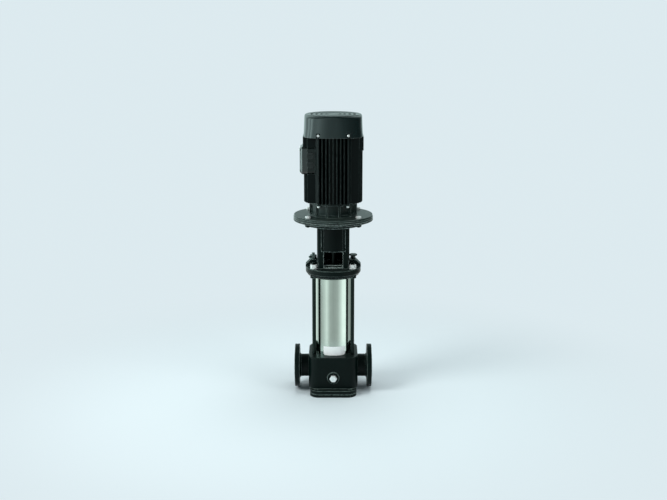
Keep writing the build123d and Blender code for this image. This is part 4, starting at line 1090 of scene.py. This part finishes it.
def floor():
    """Flat round floor that fades into the colour of the air far from the pump.

    Rings of points, each at its radius, spread as the cube of their number from the middle. To
    shiny surfaces it turns clear away from the pump, so they see the studio below the horizon.
    """
    spread = np.linspace(floor_first_ring, 1, floor_rings) ** 3
    radii = np.append(floor_middle, floor_reach * spread)
    rows = round_rows([(radius, 0.0) for radius in radii[::-1]], floor_columns)
    points, quads, ends = skin(rows)
    mesh = bpy.data.meshes.new("floor")
    mesh.from_pydata(points.tolist(), [], quads.tolist() + [ends[1]])
    ground = bpy.data.objects.new("floor", mesh)
    bpy.context.scene.collection.objects.link(ground)
    material = bpy.data.materials.new("floor")
    material.use_nodes = True
    tree = material.node_tree
    tree.nodes.clear()
    path = add_node(tree, "LightPath")
    coords = add_node(tree, "TexCoord")
    reach = add_node(tree, "VectorMath", {0: coords.outputs["Object"]}, operation="LENGTH")
    fade = add_node(tree, "MapRange", {
        "Value": reach.outputs["Value"], "From Min": floor_near, "From Max": floor_far,
    }, interpolation_type="SMOOTHSTEP")
    seen = add_node(tree, "Math", {
        0: fade.outputs["Result"], 1: path.outputs["Is Camera Ray"],
    }, operation="MULTIPLY")
    matt = add_node(tree, "BsdfDiffuse", {"Color": floor_colour})
    air = add_node(tree, "Emission", {"Color": air_colour, "Strength": 1.0})
    clear = add_node(tree, "BsdfTransparent")
    near = add_node(tree, "MixShader", {0: seen.outputs[0], 1: matt.outputs[0], 2: air.outputs[0]})
    glossy_fade = add_node(tree, "MapRange", {
        "Value": reach.outputs["Value"], "From Min": floor_mirrored, "From Max": floor_unmirrored,
    }, interpolation_type="SMOOTHSTEP")
    glossy_seen = add_node(tree, "Math", {
        0: glossy_fade.outputs["Result"], 1: path.outputs["Is Glossy Ray"],
    }, operation="MULTIPLY")
    both = add_node(tree, "MixShader", {
        0: glossy_seen.outputs[0], 1: near.outputs[0], 2: clear.outputs[0],
    })
    out = add_node(tree, "OutputMaterial")
    tree.links.new(both.outputs[0], out.inputs["Surface"])
    mesh.materials.append(material)


# What shiny surfaces see round the pump, as direction in degrees, 0 towards the camera, and level
LOW_STUDIO = (
    (-180, 1.6), (-150, 1.2), (-135, 0.42), (-120, 1.3), (-103, 0.62), (-84, 0.42), (-60, 0.75),
    (-39, 1.12), (-20, 0.6), (0, 0.5), (14, 0.53), (26, 0.6), (44, 0.98), (58, 1.42), (76, 1.45),
    (92, 0.8), (106, 0.42), (125, 0.5), (150, 1.2), (180, 1.6),
)
HIGH_STUDIO = (
    (-180, 0.62), (-160, 0.9), (-146, 1.2), (-134, 1.1), (-118, 0.8), (-106, 2.0), (-99, 2.6),
    (-92, 2.4), (-84, 1.0), (-78, 2.8), (-70, 3.0), (-63, 1.4), (-50, 1.15), (-30, 1.35),
    (-19, 1.0), (-9, 0.66), (0, 0.42), (12, 0.24), (40, 0.14), (110, 0.05), (134, 0.12),
    (150, 0.4), (164, 0.7), (180, 0.62),
)


def studio_ring(tree, angle, levels, tint):
    """Tinted level round the horizon, as a ramp over the share of a turn."""
    ramp = add_node(tree, "ValToRGB", {0: angle})
    stops = ramp.color_ramp.elements
    shade = np.array(tint)
    for direction, level in levels[1:-1]:
        stops.new((direction + 180) / 360).color = (*(level / studio_peak * shade), 1.0)
    stops[0].color = stops[-1].color = (*(levels[0][1] / studio_peak * shade), 1.0)
    return ramp.outputs[0]


def studio_world():
    """Air that lights the pump evenly, looks pale to the camera and banded to shiny surfaces.

    The bands change a little below the horizon, and fade to a dim ceiling above.
    """
    world = bpy.data.worlds.new("studio")
    bpy.context.scene.world = world
    world.use_nodes = True
    tree = world.node_tree
    tree.nodes.clear()
    coords = add_node(tree, "TexCoord")
    turned = add_node(tree, "Mapping", {
        "Vector": coords.outputs["Generated"], "Rotation": (0, 0, math.radians(90)),
    })
    angle = add_node(tree, "TexGradient", {0: turned.outputs[0]}, gradient_type="RADIAL")
    parts = add_node(tree, "SeparateXYZ", {0: coords.outputs["Generated"]})
    upper = add_node(tree, "MapRange", {
        "Value": parts.outputs["Z"], "From Min": low_studio_end, "From Max": high_studio_start,
    })
    bands = add_node(tree, "Mix", data_type="RGBA")
    fill(tree, bands, {
        "Factor": upper.outputs["Result"],
        MIX_FIRST: studio_ring(tree, angle.outputs[1], LOW_STUDIO, low_studio_tint),
        MIX_SECOND: studio_ring(tree, angle.outputs[1], HIGH_STUDIO, high_studio_tint),
    })
    ceiling = add_node(tree, "MapRange", {
        "Value": parts.outputs["Z"], "From Min": ceiling_start, "From Max": ceiling_full,
        "To Min": studio_peak, "To Max": ceiling_level,
    })
    path = add_node(tree, "LightPath")
    even = add_node(tree, "Background", {"Color": air_colour, "Strength": even_strength})
    seen = add_node(tree, "Background", {"Color": air_colour, "Strength": 1.0})
    shown = add_node(tree, "Background", {
        "Color": bands.outputs[MIX_RESULT], "Strength": ceiling.outputs["Result"],
    })
    glossy = add_node(tree, "MixShader", {
        0: path.outputs["Is Glossy Ray"], 1: even.outputs[0], 2: shown.outputs[0],
    })
    camera = add_node(tree, "MixShader", {
        0: path.outputs["Is Camera Ray"], 1: glossy.outputs[0], 2: seen.outputs[0],
    })
    out = add_node(tree, "OutputWorld")
    tree.links.new(camera.outputs[0], out.inputs["Surface"])


def lamp(name, place, target, size, power):
    """Square soft lamp that looks at a target and isn't mirrored by shiny surfaces."""
    data = bpy.data.lights.new(name, "AREA")
    data.shape = "SQUARE"
    data.size = size
    data.energy = power
    data.color = lamp_colour
    made = bpy.data.objects.new(name, data)
    made.location = place
    aim = Vector(target) - Vector(place)
    made.rotation_euler = aim.to_track_quat("-Z", "Y").to_euler()
    made.visible_glossy = False
    bpy.context.scene.collection.objects.link(made)


def camera():
    """Camera at the photograph's place, looking a little down at the pump's middle."""
    data = bpy.data.cameras.new("camera")
    data.lens = camera_lens
    data.sensor_width = camera_sensor
    made = bpy.data.objects.new("camera", data)
    made.location = camera_place
    made.rotation_euler = (camera_target - camera_place).to_track_quat("-Z", "Y").to_euler()
    bpy.context.scene.collection.objects.link(made)
    bpy.context.scene.camera = made


floor()
studio_world()
for one_lamp in LAMPS:
    lamp(*one_lamp)
camera()
bpy.context.scene.view_settings.view_transform = "Standard"
